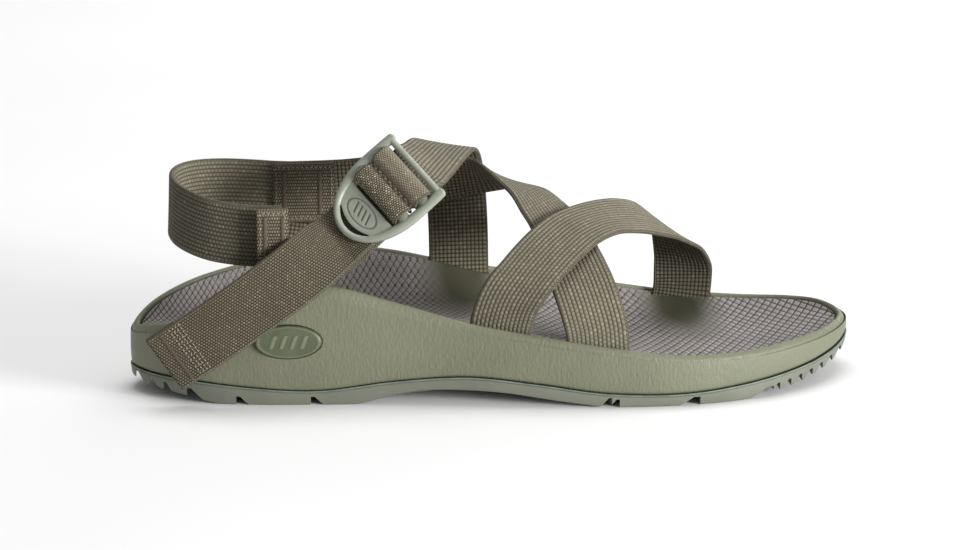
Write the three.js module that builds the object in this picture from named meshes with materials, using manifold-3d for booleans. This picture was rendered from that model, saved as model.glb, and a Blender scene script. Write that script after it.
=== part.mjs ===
// A right-foot sport sandal: a rubber outsole, a foam midsole with raised sides, a textured
// footbed, webbing straps that run through slots in the sole, and a ladder-lock buckle.
// Units are millimetres. +X is the toe, +Y the inner (medial) side of the foot, +Z up.
// The origin is the middle of the footprint on the ground.
import * as THREE from 'three';
import { mergeVertices } from 'three/addons/utils/BufferGeometryUtils.js';
import Module from 'manifold-3d';

const wasm = await Module();
wasm.setup();

// ---- Driving dimensions --------------------------------------------------------------------
const WEB_WIDTH = 24.5;          // width of all the webbing
const WEB_THICK = 1.9;           // thickness of the webbing
const WRAP_THICK = 1.5;          // webbing pulled tight round a buckle bar
const SLOT_CLEARANCE = 0.45;     // room between webbing and the slot it runs in
const LIP_WIDTH = 4.0;           // midsole lip that shows around the footbed
const LIP_DROP = 1.2;            // footbed edge below the top of the lip
const FOOTBED_THICK = 4.2;
const PART_GAP = 0.3;            // gap between bonded layers
const TREAD_DEPTH = 3.4;
const RING_COUNT = 84;           // points around the sole
const DECK_COLUMNS = 8;          // strips across the sole

// Edge of the sole in plan, from the back of the heel along the outer side to the toe and back
// along the inner side: [x, y, height of the rim, height of the midsole-outsole line].
const SOLE_EDGE = [
  [-143.6, -1, 26.5, 9.6], [-136.8, -18, 28.5, 9.6], [-120, -30.5, 33.5, 8.8], [-95, -36.5, 43.0, 6.6],
  [-70, -38.5, 48.0, 5.6], [-40, -40.5, 40.6, 9.2], [-12, -44.5, 32.6, 11.2], [15, -49, 28.0, 8.8],
  [42, -52.5, 23.8, 5.4], [72, -52, 19.8, 4.6], [100, -44.5, 19.4, 6.6], [124, -30, 20.8, 9.6],
  [140, -12, 21.8, 12.8], [147, 7, 22.6, 15.6], [142, 26, 23.3, 15.0], [130, 38.5, 22.6, 12.2],
  [108, 48.5, 21.4, 8.2], [80, 53.5, 22.8, 5.0], [50, 53.5, 27.3, 5.2], [20, 48, 33.2, 8.8],
  [-10, 42.8, 38.8, 11.2], [-38, 40.6, 45.2, 9.4], [-62, 40, 47.5, 5.8], [-90, 38.5, 43.0, 5.8],
  [-118, 31.5, 37.0, 8.4], [-135.6, 17, 31.5, 9.6],
];
// Height of the footbed along its middle, and of the ground side of the tread: [x, height].
const FOOTBED_MIDDLE = smoothProfile([
  [-145, 25.4], [-125, 25.0], [-100, 25.5], [-70, 27.0], [-40, 28.8], [-10, 28.2], [15, 25.2],
  [40, 21.4], [70, 18.4], [100, 17.7], [125, 19.2], [147, 21.4],
]);
const TREAD_BOTTOM = smoothProfile([
  [-147, 5.4], [-126, 3.3], [-106, 0], [-95, 0], [-58, 0], [-38, 4.3], [-20, 6.1], [2, 5.2],
  [24, 2.2], [46, 0], [60, 0], [92, 0], [112, 1.7], [128, 4.7], [140, 8.2], [149, 12.4],
]);
const DISH_POWER = 2.6;          // how steeply the footbed rises towards its edge

// ---- Small tools ---------------------------------------------------------------------------
// A smooth height along x through a few hand-set points.
function smoothProfile(points) {
  const slope = points.map((p, i) => {
    const before = points[Math.max(i - 1, 0)];
    const after = points[Math.min(i + 1, points.length - 1)];
    const risesBoth = (p[1] - before[1]) * (after[1] - p[1]) > 0;
    return risesBoth ? (after[1] - before[1]) / (after[0] - before[0]) : 0;
  });
  return (x) => {
    const last = points.length - 2;
    let i = 0;
    while (i < last && x > points[i + 1][0]) i += 1;
    const [x0, y0] = points[i];
    const [x1, y1] = points[i + 1];
    const span = x1 - x0;
    const t = THREE.MathUtils.clamp((x - x0) / span, 0, 1);
    const a = 2 * t ** 3 - 3 * t ** 2 + 1;
    const b = t ** 3 - 2 * t ** 2 + t;
    const c = t ** 3 - t ** 2;
    return a * y0 + (1 - a) * y1 + span * (b * slope[i] + c * slope[i + 1]);
  };
}

// Collects triangles and welds them into one closed geometry that faces outwards.
class Skin {
  constructor() {
    this.positions = [];
  }

  triangle(a, b, c) {
    if (a.distanceTo(b) < 1e-4 || b.distanceTo(c) < 1e-4 || c.distanceTo(a) < 1e-4) return;
    this.positions.push(...a.toArray(), ...b.toArray(), ...c.toArray());
  }

  quad(a, b, c, d) {
    this.triangle(a, b, c);
    this.triangle(a, c, d);
  }

  // A band of quads between two closed rings with the same number of points.
  band(lower, upper) {
    lower.forEach((p, i) => {
      const j = (i + 1) % lower.length;
      this.quad(p, lower[j], upper[j], upper[i]);
    });
  }

  geometry() {
    const geometry = new THREE.BufferGeometry();
    geometry.setAttribute('position', new THREE.Float32BufferAttribute(this.positions, 3));
    const welded = mergeVertices(geometry, 1e-4);
    if (volumeOf(welded) < 0) {
      const index = welded.index.array;
      for (let i = 0; i < index.length; i += 3) [index[i], index[i + 1]] = [index[i + 1], index[i]];
    }
    welded.computeVertexNormals();
    return welded;
  }
}

function volumeOf(geometry) {
  const p = geometry.attributes.position;
  const index = geometry.index.array;
  const corner = [new THREE.Vector3(), new THREE.Vector3(), new THREE.Vector3()];
  let sum = 0;
  for (let i = 0; i < index.length; i += 3) {
    corner.forEach((v, k) => v.fromBufferAttribute(p, index[i + k]));
    sum += corner[0].dot(corner[1].clone().cross(corner[2]));
  }
  return sum / 6;
}

function toSolid(geometry) {
  const bare = geometry.clone();
  bare.deleteAttribute('normal');
  bare.deleteAttribute('uv');
  const welded = mergeVertices(bare, 1e-4);
  const vertProperties = new Float32Array(welded.attributes.position.array);
  const triVerts = new Uint32Array(welded.index.array);
  return new wasm.Manifold(new wasm.Mesh({ numProp: 3, vertProperties, triVerts }));
}

function fromSolid(solid) {
  const { numProp, vertProperties, triVerts } = solid.getMesh();
  const positions = new Float32Array((vertProperties.length / numProp) * 3);
  for (let i = 0; i < positions.length / 3; i += 1) {
    positions.set(vertProperties.subarray(i * numProp, i * numProp + 3), i * 3);
  }
  const geometry = new THREE.BufferGeometry();
  geometry.setAttribute('position', new THREE.BufferAttribute(positions, 3));
  geometry.setIndex(new THREE.BufferAttribute(new Uint32Array(triVerts), 1));
  geometry.computeVertexNormals();
  return geometry;
}

// Cuts away the cutters and keeps the main body, without loose slivers beside a slot.
function cut(geometry, cutters) {
  let solid = toSolid(geometry);
  cutters.forEach((cutter) => {
    solid = solid.subtract(toSolid(cutter));
  });
  const bodies = solid.decompose();
  bodies.sort((a, b) => b.volume() - a.volume());
  return fromSolid(bodies[0]);
}

// ---- The sole ------------------------------------------------------------------------------
const rimCurve = closedCurve(([x, y, rim]) => new THREE.Vector3(x, y, rim));
const lineCurve = closedCurve(([x, y, , line]) => new THREE.Vector3(x, y, line));

function closedCurve(pick) {
  return new THREE.CatmullRomCurve3(SOLE_EDGE.map(pick), true, 'catmullrom', 0.5);
}

// Where each sample sits on the closed curve, so that samples i and RING_COUNT - i face each other.
// They crowd towards the heel and the toe, where the outline turns quickest.
const toeX = Math.max(...SOLE_EDGE.map(([x]) => x));
const TOE_SHARE = SOLE_EDGE.findIndex(([x]) => x === toeX) / SOLE_EDGE.length;
const END_CROWDING = 0.6;
const ringParameters = Array.from({ length: RING_COUNT }, (_, i) => {
  const half = RING_COUNT / 2;
  const outer = i <= half;
  const along = outer ? i / half : (RING_COUNT - i) / half;
  const eased = 0.5 - 0.5 * Math.cos(Math.PI * along);
  const share = THREE.MathUtils.lerp(along, eased, END_CROWDING);
  return outer ? TOE_SHARE * share : 1 - (1 - TOE_SHARE) * share;
});

// One ring around the sole, moved in from the edge, at a height set from the rim and the line.
function soleRing(inset, heightAt) {
  return ringParameters.map((t) => {
    const rim = rimCurve.getPoint(t);
    const line = lineCurve.getPoint(t);
    const tangent = rimCurve.getTangent(t).setZ(0).normalize();
    const x = rim.x - inset * tangent.y;
    const y = rim.y + inset * tangent.x;
    return new THREE.Vector3(x, y, heightAt(rim.z, line.z, x));
  });
}

// A surface spanning a ring, made of strips that cross the sole from edge to edge.
function addDeck(skin, ring, heightAt) {
  const half = ring.length / 2;
  const rows = [];
  for (let i = 0; i <= half; i += 1) {
    const outer = ring[i];
    const inner = ring[(ring.length - i) % ring.length];
    const row = [];
    for (let j = 0; j <= DECK_COLUMNS; j += 1) {
      const p = outer.clone().lerp(inner, j / DECK_COLUMNS);
      const between = j > 0 && j < DECK_COLUMNS && outer !== inner;
      if (between) p.z = heightAt(p, outer.z, inner.z, (2 * j) / DECK_COLUMNS - 1);
      row.push(p);
    }
    rows.push(row);
  }
  for (let i = 0; i < half; i += 1) {
    for (let j = 0; j < DECK_COLUMNS; j += 1) {
      skin.quad(rows[i][j], rows[i + 1][j], rows[i + 1][j + 1], rows[i][j + 1]);
    }
  }
}

function dished(drop) {
  return (p, outerZ, innerZ, across) => {
    const middle = FOOTBED_MIDDLE(p.x) - drop;
    const edge = across < 0 ? outerZ : innerZ;
    return middle + (edge - middle) * Math.abs(across) ** DISH_POWER;
  };
}

const straightAcross = (p, outerZ, innerZ, across) => outerZ + (innerZ - outerZ) * (across + 1) * 0.5;

// Closed solid through a row of four-cornered sections.
function throughSections(sections) {
  const skin = new Skin();
  for (let i = 0; i + 1 < sections.length; i += 1) skin.band(sections[i], sections[i + 1]);
  skin.quad(...sections[0].toReversed());
  skin.quad(...sections.at(-1));
  return skin.geometry();
}

// Closed solid from a stack of rings, with a deck over the first and the last of them.
function layer(rings, lowerHeight, upperHeight) {
  const skin = new Skin();
  for (let i = 0; i + 1 < rings.length; i += 1) skin.band(rings[i], rings[i + 1]);
  addDeck(skin, rings.at(-1), upperHeight);
  const lower = new Skin();
  addDeck(lower, rings[0], lowerHeight);
  for (let i = 0; i < lower.positions.length; i += 9) {
    const [a, b, c] = [0, 3, 6].map((k) => new THREE.Vector3().fromArray(lower.positions, i + k));
    skin.triangle(a, c, b);
  }
  return skin.geometry();
}

function midsoleBlank() {
  const seatDrop = LIP_DROP + FOOTBED_THICK + PART_GAP;
  const rings = [
    soleRing(1.6, (rim, line) => line + 0.1),
    soleRing(0.4, (rim, line) => line + 1.6),
    soleRing(0.0, (rim, line) => line + 0.5 * (rim - line)),
    soleRing(0.5, (rim) => rim - 3.6),
    soleRing(1.4, (rim) => rim - 1.2),
    soleRing(2.5, (rim) => rim - 0.2),
    soleRing(3.4, (rim) => rim - 0.3),
    soleRing(LIP_WIDTH, (rim) => rim - 1.1),
    soleRing(LIP_WIDTH, (rim) => rim - seatDrop),
  ];
  return layer(rings, straightAcross, dished(FOOTBED_THICK + PART_GAP));
}

function footbedBlank() {
  const edge = LIP_WIDTH + PART_GAP;
  const rings = [
    soleRing(edge, (rim) => rim - LIP_DROP - FOOTBED_THICK),
    soleRing(edge, (rim) => rim - LIP_DROP - 0.8),
    soleRing(edge + 0.8, (rim) => rim - LIP_DROP),
  ];
  return layer(rings, dished(FOOTBED_THICK), dished(0));
}

function outsoleBlank() {
  const rings = [
    soleRing(1.0, (rim, line, x) => TREAD_BOTTOM(x)),
    soleRing(0.2, (rim, line, x) => TREAD_BOTTOM(x) + 1.2),
    soleRing(0.0, (rim, line) => line - 1.2),
    soleRing(0.6, (rim, line) => line - PART_GAP),
  ];
  return layer(rings, (p) => TREAD_BOTTOM(p.x), straightAcross);
}

// Saw-tooth grooves across the tread: [x, width at the ground, yaw in degrees, side of the upright
// wall: 1 towards the toe, -1 towards the heel].
const TREAD_GROOVES = [
  [-140, 3.2, 0, -1], [-134.5, 3.2, 0, -1], [-129, 3.2, 0, -1], [-121, 5, 4, -1], [-96.7, 5.2, -5, -1],
  [-68, 5.2, -4, -1], [36, 4.2, 6, 1], [50, 4.2, -6, 1], [69, 8.5, 6, 1], [80, 3.4, -5, 1],
  [102, 9.6, 4, 1], [110.6, 3.6, 0, 1], [115.6, 3.6, 0, 1], [120.6, 3.6, 0, 1], [125.6, 3.6, 0, 1],
  [130.6, 3.6, 0, 1], [135.6, 3.6, 0, 1], [140.6, 3.6, 0, 1],
];
const GROOVE_LENGTH = 124;
const GROOVE_MOUTH = -3;         // the groove shapes start below the ground
const GROOVE_ROOF = 0.3;         // level share of the width at the groove's floor
const GROOVE_TAPER = 0.56;       // width at a long groove's floor against its width at the ground

function treadGroove([x, width, yaw, uprightSide]) {
  const ground = TREAD_BOTTOM(x);
  const half = width / 2;
  const slope = ((1 - GROOVE_ROOF) * width) / TREAD_DEPTH;
  const section = new THREE.Shape([
    [-half - slope * (ground - GROOVE_MOUTH), GROOVE_MOUTH],
    [half, GROOVE_MOUTH],
    [half, ground + TREAD_DEPTH],
    [half - GROOVE_ROOF * width, ground + TREAD_DEPTH],
  ].map(([along, height]) => new THREE.Vector2(uprightSide * along, height)));
  const groove = new THREE.ExtrudeGeometry(section, { depth: GROOVE_LENGTH, bevelEnabled: false });
  groove.translate(0, 0, -GROOVE_LENGTH / 2);
  groove.rotateX(Math.PI / 2);
  groove.rotateZ(THREE.MathUtils.degToRad(yaw));
  groove.translate(x, 0, 0);
  return groove;
}

// Grooves along the tread that part the lugs: [start x, end x, y].
const LONG_GROOVES = [[-128, -60, -13], [-128, -60, 13], [44, 128, -18], [44, 128, 20]];
const LONG_GROOVE = { half: 1.5, depth: 2.7, steps: 8 };

function longGroove([start, end, y]) {
  const { half, depth, steps } = LONG_GROOVE;
  const floorHalf = half * GROOVE_TAPER;
  return throughSections(Array.from({ length: steps + 1 }, (_, i) => {
    const x = start + ((end - start) * i) / steps;
    const floor = TREAD_BOTTOM(x) + depth;
    const corners = [[-half, GROOVE_MOUTH], [half, GROOVE_MOUTH], [floorHalf, floor], [-floorHalf, floor]];
    return corners.map(([dy, z]) => new THREE.Vector3(x, y + dy, z));
  }));
}

// ---- Webbing -------------------------------------------------------------------------------
const STRAP_STEPS = 48;

// A flat strap along stations [x, y, z, wx, wy, wz]: a centre and the direction of its width.
// grow makes the shape of the slot that it runs in.
function webbing(stations, { steps = STRAP_STEPS, grow = 0 } = {}) {
  const centres = stations.map(([x, y, z]) => new THREE.Vector3(x, y, z));
  const widths = stations.map(([, , , x, y, z]) => new THREE.Vector3(x, y, z).normalize());
  const path = new THREE.CatmullRomCurve3(centres, false, 'catmullrom', 0.5);
  const lean = new THREE.CatmullRomCurve3(widths, false, 'catmullrom', 0.5);
  const halfWidth = WEB_WIDTH / 2 + grow;
  const halfThick = WEB_THICK / 2 + grow;
  const sections = [];
  for (let i = 0; i <= steps; i += 1) {
    const t = i / steps;
    const centre = path.getPoint(t);
    const tangent = path.getTangent(t);
    const across = lean.getPoint(t);
    across.addScaledVector(tangent, -across.dot(tangent)).normalize();
    const normal = new THREE.Vector3().crossVectors(tangent, across);
    if (grow > 0 && (i === 0 || i === steps)) centre.addScaledVector(tangent, i === 0 ? -grow : grow);
    sections.push([[-1, -1], [1, -1], [1, 1], [-1, 1]].map(([a, b]) => centre.clone()
      .addScaledVector(across, a * halfWidth)
      .addScaledVector(normal, b * halfThick)));
  }
  return throughSections(sections);
}

// Strap that crosses behind the toes: from the middle of the arch tunnel, up the outer side,
// over the foot and down the inner side into the forefoot tunnel.
const FOREFOOT_STRAP = [
  [-4.5, -2, 17.4, 1, 0.1, 0], [-3.0, -20, 17.4, 1, 0.1, 0], [-0.8, -34, 19.2, 1, 0, 0.02],
  [0.6, -40.0, 25, 0.98, -0.2, -0.05], [1.2, -41.0, 32, 0.93, -0.32, -0.16],
  [4.4, -42.0, 41.5, 0.86, -0.4, -0.26], [10.4, -41.0, 49.6, 0.78, -0.5, -0.34],
  [17.2, -36.0, 56, 0.75, -0.54, -0.38], [24.5, -28.5, 61, 0.73, -0.58, -0.38],
  [32.6, -18.5, 64.4, 0.72, -0.61, -0.34], [42, -7.5, 65.4, 0.72, -0.61, -0.32],
  [51.6, 3.5, 64.3, 0.72, -0.54, -0.41], [61.6, 14.5, 61.7, 0.72, -0.47, -0.5],
  [71.5, 25, 57, 0.74, -0.41, -0.53], [79.8, 35, 48.8, 0.8, -0.34, -0.47],
  [84.4, 42.5, 38, 0.9, -0.25, -0.28], [85.4, 46, 29.5, 1, -0.04, -0.12],
  [84.8, 46.5, 21, 1, 0, -0.08], [82.5, 42.5, 13.5, 1, -0.1, -0.04], [76, 30, 9.6, 1, -0.3, 0],
  [63, 2, 9.4, 1, -0.45, 0],
];
// Strap from the forefoot tunnel up the outer side, under the crossing strap, over the instep
// and back along the inner side to the heel.
const DIAGONAL_STRAP = [
  [62.4, 0.8, 9.4, 1, -0.45, 0], [49, -28, 9.6, 1, -0.4, 0], [41.5, -42.0, 12.6, 1, -0.15, 0],
  [39.0, -46.6, 20, 1, -0.05, -0.08], [38.0, -47.2, 30, 1, -0.03, 0.04],
  [35.8, -46.4, 38.6, 0.99, -0.03, 0.12],
  [33.4, -42.6, 46, 0.96, 0.02, 0.2], [31.2, -36, 51.6, 0.9, 0.22, 0.26], [29.2, -26, 56.4, 0.76, 0.5, 0.26],
  [27.6, -14.8, 61.4, 0.59, 0.75, 0.24], [22.8, -3.2, 68.4, 0.47, 0.85, 0.2],
  [16.6, 8.5, 74.4, 0.36, 0.92, 0.01],
  [8.6, 18.4, 77.1, 0.26, 0.9, -0.28], [-0.6, 24.8, 77.8, 0.12, 0.74, -0.64],
  [-11.5, 27.6, 77.2, 0.04, 0.5, -0.86], [-27, 30.2, 75.2, 0, 0.26, -0.97],
  [-44, 32.6, 72.9, 0, 0.06, -1], [-60, 33.6, 71.4, 0, 0, -1], [-86, 33.6, 71.0, 0, 0, -1],
];
// Strap from the arch tunnel up the inner side and over the instep to the buckle's end bar.
const INSTEP_STRAP = [
  [-5.0, 1, 17.4, 1, 0.1, 0], [-6.6, 20, 17.4, 1, 0.05, 0], [-8.2, 32.6, 19.6, 1, 0, 0],
  [-9.0, 37.2, 27, 1, 0, 0], [-9.2, 37.8, 38, 1, 0, 0.02], [-9.4, 38.2, 52, 1, 0, 0.04],
  [-10, 38.2, 65, 1, -0.02, 0.05], [-11.2, 35.8, 76, 0.99, -0.08, 0.06], [-13.0, 29.4, 85.4, 0.98, -0.16, 0],
  [-15.8, 19.2, 91.4, 0.97, -0.2, -0.12], [-19.6, 7, 92.7, 0.92, -0.3, -0.24],
  [-23.8, -5, 91.8, 0.8, -0.46, -0.36], [-27.4, -14.4, 90.9, 0.65, -0.56, -0.5],
  [-30.2, -20.0, 89.1, 0.566, -0.591, -0.574], [-34.2, -20.8, 85.2, 0.566, -0.591, -0.574],
];
// The riser that holds the heel: out of the heel tunnel on each side.
const RISER_OUTER = [
  [-78.5, -1, 13, 1, 0, 0], [-79, -20, 13.2, 1, 0, 0], [-79.5, -29, 16, 1, 0, 0],
  [-79.8, -32.6, 24, 1, 0, -0.04],
  [-79.8, -33.0, 37, 0.99, 0, -0.12], [-78.6, -31.8, 46.5, 0.96, 0, -0.26],
  [-75.2, -30.4, 52.6, 0.86, 0, -0.5],
  [-70.6, -28.6, 56.8, 0.7, -0.2, -0.68], [-65.5, -25.8, 59.0, 0.6, -0.46, -0.65],
  [-60.0, -23.0, 61.8, 0.57, -0.56, -0.6], [-53.9, -22.2, 67.3, 0.566, -0.591, -0.574],
  [-45.6, -21.1, 74.4, 0.566, -0.591, -0.574], [-41.2, -20.6, 78.2, 0.566, -0.591, -0.574],
];
const RISER_INNER = [
  [-78.5, 1, 13, 1, 0, 0], [-78, 21, 13.2, 1, 0, 0], [-77.5, 30, 16, 1, 0, 0], [-77.2, 33.6, 24, 1, 0, 0],
  [-77, 34.6, 38, 1, 0, 0], [-76, 35.6, 50, 1, 0, 0], [-74.6, 36.1, 60, 1, 0, 0.04],
  [-73.6, 36.1, 82.5, 1, 0, 0.04],
];
// The strap behind the heel, sewn to the risers at both flat ends.
const HEEL_STRAP = [
  [-83.4, -25.3, 65.0, 0, 0, -1], [-88, -25.3, 65.1, 0, 0, -1], [-94, -25.3, 65.4, 0, 0, -1],
  [-102.4, -24.9, 66.2, 0, 0, -1], [-111.6, -22.2, 67.6, 0, -0.02, -1],
  [-119.4, -16.2, 69.6, -0.03, -0.02, -1], [-124.8, -8, 71.8, -0.04, 0, -1],
  [-126.4, 3, 73.6, -0.04, 0, -1], [-123.2, 14, 74.6, -0.03, 0.03, -1],
  [-116, 23.4, 74.4, 0, 0.04, -1], [-105.5, 29.2, 73.6, 0, 0.02, -1], [-94, 31.1, 72.6, 0, 0, -1],
  [-84, 31.1, 71.8, 0, 0, -1], [-73, 31.1, 71.2, 0, 0, -1],
];
// The same webbing where it passes under the buckle's tab.
const TAIL_UNDER_TAB = [
  [-46.2, -23.35, 76.2, 0.566, -0.591, -0.574], [-54.8, -24.4, 68.9, 0.566, -0.591, -0.574],
  [-58.8, -24.9, 65.5, 0.566, -0.591, -0.574],
];
// Free end beyond the buckle, hanging down outside the rim, and the folded hem behind its tip.
const TAIL = [
  [-61.6, -26.5, 63.5, 0.566, -0.591, -0.574], [-65.2, -29.8, 61.7, 0.57, -0.5, -0.65],
  [-69.2, -33.9, 59.4, 0.58, -0.34, -0.72], [-74.8, -37.6, 55.6, 0.585, -0.15, -0.78],
  [-83, -39.8, 49.8, 0.59, -0.05, -0.8], [-94.5, -40.5, 41.7, 0.59, 0, -0.8],
  [-107, -40, 32.9, 0.59, 0, -0.8], [-119.5, -38.8, 24.3, 0.59, 0, -0.8],
  [-129.8, -37.2, 17.2, 0.59, 0, -0.8],
];

const TAIL_HEM = [[-119.5, -36.5, 24.3, 0.59, 0, -0.8], [-129.8, -34.9, 17.2, 0.59, 0, -0.8]];
// Second ply under the instep strap, where the strap's end is sewn down after going round bar A.
const LOOP_END = [
  [-33.4, -18.7, 83.6, 0.566, -0.591, -0.574], [-31, -18.3, 85.5, 0.566, -0.591, -0.574],
  [-28.6, -17.4, 87.2, 0.566, -0.591, -0.574],
];

// ---- Materials -----------------------------------------------------------------------------
const MATERIALS = {
  outsoleRubber: { color: 0x77816c, roughness: 0.72 },
  midsoleFoam: { color: 0x80856c, roughness: 0.55 },
  footbedFoam: { color: 0x6f6a66, roughness: 0.45 },
  shankNylon: { color: 0x2b2c2a, roughness: 0.5 },
  badge: { color: 0x768263, roughness: 0.5 },
  strapWebbing: { color: 0x6f6a57, roughness: 0.9 },
  stitching: { color: 0x6a5a4c, roughness: 0.9 },
  buckleNylon: { color: 0x9daa96, roughness: 0.42 },
};

// The points above are laid out from the middle of the foot; this puts the origin at the middle
// of the footprint.
const TO_ORIGIN = [-1.7, -0.6, 0];
const sandal = new THREE.Group();
sandal.position.set(...TO_ORIGIN);

function place(name, geometry, look, parent = sandal) {
  const material = new THREE.MeshStandardMaterial({ ...MATERIALS[look], metalness: 0 });
  const mesh = new THREE.Mesh(geometry, material);
  mesh.name = name;
  parent.add(mesh);
  return mesh;
}

// ---- Buckle --------------------------------------------------------------------------------
const BUCKLE_CENTRE = new THREE.Vector3(-40.8, -25.0, 83.2);
const BUCKLE_ALONG = new THREE.Vector3(0.757, 0.099, 0.645).normalize();
const BUCKLE_OUT = new THREE.Vector3(-0.325, -0.8, 0.504);
const BUCKLE_THICK = 3.0;
const EDGE_BEVEL = 0.5;
const END_BAR = 13.0;            // places along the buckle, from its widest part
const BAR_A = 6.2;
const BAR_B = -3.8;
const TAB_EDGE = -9.4;
const HORN_END = 15.4;
const FRAME_END = -25.6;
const BAR_RADIUS = 1.35;
const BAR_FLAT = 1.05;           // half the extra length of the flat bars A and B along the buckle
const RAIL_OUTER = 18.3;
const RAIL_WIDTH = 4.2;

function buckleGroup() {
  const group = new THREE.Group();
  const side = new THREE.Vector3().crossVectors(BUCKLE_OUT, BUCKLE_ALONG).normalize();
  const out = new THREE.Vector3().crossVectors(BUCKLE_ALONG, side);
  group.matrixAutoUpdate = false;
  group.matrix.makeBasis(BUCKLE_ALONG, side, out).setPosition(BUCKLE_CENTRE);
  sandal.add(group);
  return group;
}

// Half width of the D-shaped frame at a place along it: round at the tab's end, nearly straight
// rails towards the horns.
const WIDEST = 1;
const RAIL_FADE = 60;
const ROUNDNESS = 2.2;

function frameHalfWidth(u, inset) {
  const reach = u < WIDEST ? (u - WIDEST) / (FRAME_END + inset - WIDEST) : (u - WIDEST) / RAIL_FADE;
  return (RAIL_OUTER - inset) * Math.sqrt(Math.max(0, 1 - reach ** ROUNDNESS));
}

function frameSide(from, to, inset, count) {
  return Array.from({ length: count + 1 }, (_, i) => {
    const t = i / count;
    const u = from + (to - from) * (1 - (1 - t) ** 2);
    return new THREE.Vector2(u, frameHalfWidth(u, inset));
  });
}

function mirrored(points) {
  return points.map((p) => new THREE.Vector2(p.x, -p.y)).reverse();
}

// Opening between the rails, from one place along the buckle to another.
function railOpening(from, to) {
  const upper = frameSide(to, from, RAIL_WIDTH, 1);
  return new THREE.Path([...upper, ...mirrored(upper)]);
}

function buckleFrame() {
  const side = frameSide(HORN_END, FRAME_END, 0, 22);
  const outline = new THREE.Shape([...side, ...mirrored(side).slice(1)]);
  const flatBar = BAR_FLAT + BAR_RADIUS;
  outline.holes.push(railOpening(BAR_A + flatBar, END_BAR - BAR_RADIUS));
  outline.holes.push(railOpening(BAR_B + flatBar, BAR_A - flatBar));
  outline.holes.push(railOpening(TAB_EDGE, BAR_B - flatBar));
  outline.holes.push(tabCrescent());
  const frame = new THREE.ExtrudeGeometry(outline, {
    depth: BUCKLE_THICK - 2 * EDGE_BEVEL,
    bevelThickness: EDGE_BEVEL,
    bevelSize: EDGE_BEVEL,
    bevelOffset: -EDGE_BEVEL,
    bevelSegments: 1,
    curveSegments: 6,
  });
  frame.translate(0, 0, EDGE_BEVEL - BUCKLE_THICK / 2);
  return cut(frame, [hornGap()]);
}

// The gap between the two horns, beyond the end bar.
function hornGap() {
  const width = 28.2;
  const length = 4;
  const gap = new THREE.BoxGeometry(length, width, 2 * BUCKLE_THICK);
  gap.translate(END_BAR + BAR_RADIUS + 0.25 + length / 2, 0, 0);
  return gap;
}

// Curved slot between the tab and the rounded end of the frame.
function tabCrescent() {
  const count = 8;
  const reach = 9.6;
  const arc = (middle, ends) => Array.from({ length: count + 1 }, (_, i) => {
    const y = -reach + (2 * reach * i) / count;
    return new THREE.Vector2(middle + (ends - middle) * (y / reach) ** 2, y);
  });
  return new THREE.Path([...arc(-23.0, -18.8), ...arc(-21.4, -18.2).reverse()]);
}

// Webbing wrapped round a bar, open underneath: a C drawn in the plane of the strap's length.
const WRAP_LENGTH = WEB_WIDTH + 1;
const WRAP_DIP = 0.15 * Math.PI;  // how far the wrap reaches below the bar's middle on each side

function barWrap() {
  const inner = BAR_RADIUS + 0.5;
  const outer = inner + WRAP_THICK;
  const section = new THREE.Shape();
  section.absarc(BAR_FLAT, 0, outer, -WRAP_DIP, Math.PI / 2, false);
  section.absarc(-BAR_FLAT, 0, outer, Math.PI / 2, Math.PI + WRAP_DIP, false);
  section.absarc(-BAR_FLAT, 0, inner, Math.PI + WRAP_DIP, Math.PI / 2, true);
  section.absarc(BAR_FLAT, 0, inner, Math.PI / 2, -WRAP_DIP, true);
  section.closePath();
  const options = { depth: WRAP_LENGTH, bevelEnabled: false, curveSegments: 14 };
  const wrap = new THREE.ExtrudeGeometry(section, options);
  wrap.translate(0, 0, -WRAP_LENGTH / 2);
  wrap.rotateX(Math.PI / 2);
  return wrap;
}

// ---- Small sewn pieces, the badge and the shank ----------------------------------------------
const PATCH_THICK = 1.4;
const TACK = { height: 19, radius: 0.8, flatness: 0.4 };

// A flat sewn piece of webbing lying parallel to the side of the heel.
function sewnPatch(x, y, z, length) {
  const patch = new THREE.BoxGeometry(length, PATCH_THICK, WEB_WIDTH);
  patch.translate(x, y, z);
  return patch;
}

// An upright bar of dense stitching, flattened against the webbing.
function barTack(x, y, z) {
  const tack = new THREE.CapsuleGeometry(TACK.radius, TACK.height - 2 * TACK.radius, 2, 6);
  tack.rotateX(Math.PI / 2);
  tack.scale(1, TACK.flatness, 1);
  tack.translate(x, y, z);
  return tack;
}

// Oval badge let into the outer wall of the midsole, turned to lie along the wall.
const BADGE = { x: -81.8, y: -38.0, z: 25.6, halfLength: 13.2, halfHeight: 6.7, thick: 1.6, yaw: -2.4 };

function badgeOval(grow, thick) {
  const oval = new THREE.Shape();
  oval.absellipse(0, 0, BADGE.halfLength + grow, BADGE.halfHeight + grow, 0, 2 * Math.PI);
  const badge = new THREE.ExtrudeGeometry(oval, { depth: thick, bevelEnabled: false, curveSegments: 14 });
  badge.rotateX(Math.PI / 2);
  badge.rotateZ(THREE.MathUtils.degToRad(BADGE.yaw));
  badge.translate(BADGE.x, BADGE.y + BADGE.thick, BADGE.z);
  return badge;
}

// Stiff plate under the arch, held in a pocket in the underside of the midsole.
const SHANK = { start: -66, end: 40, width: 26, thick: 1.4 };
const SHANK_BOTTOM = smoothProfile([[-70, 6.2], [-40, 9.9], [-11, 11.9], [17, 9.5], [46, 6.1]]);

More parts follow.
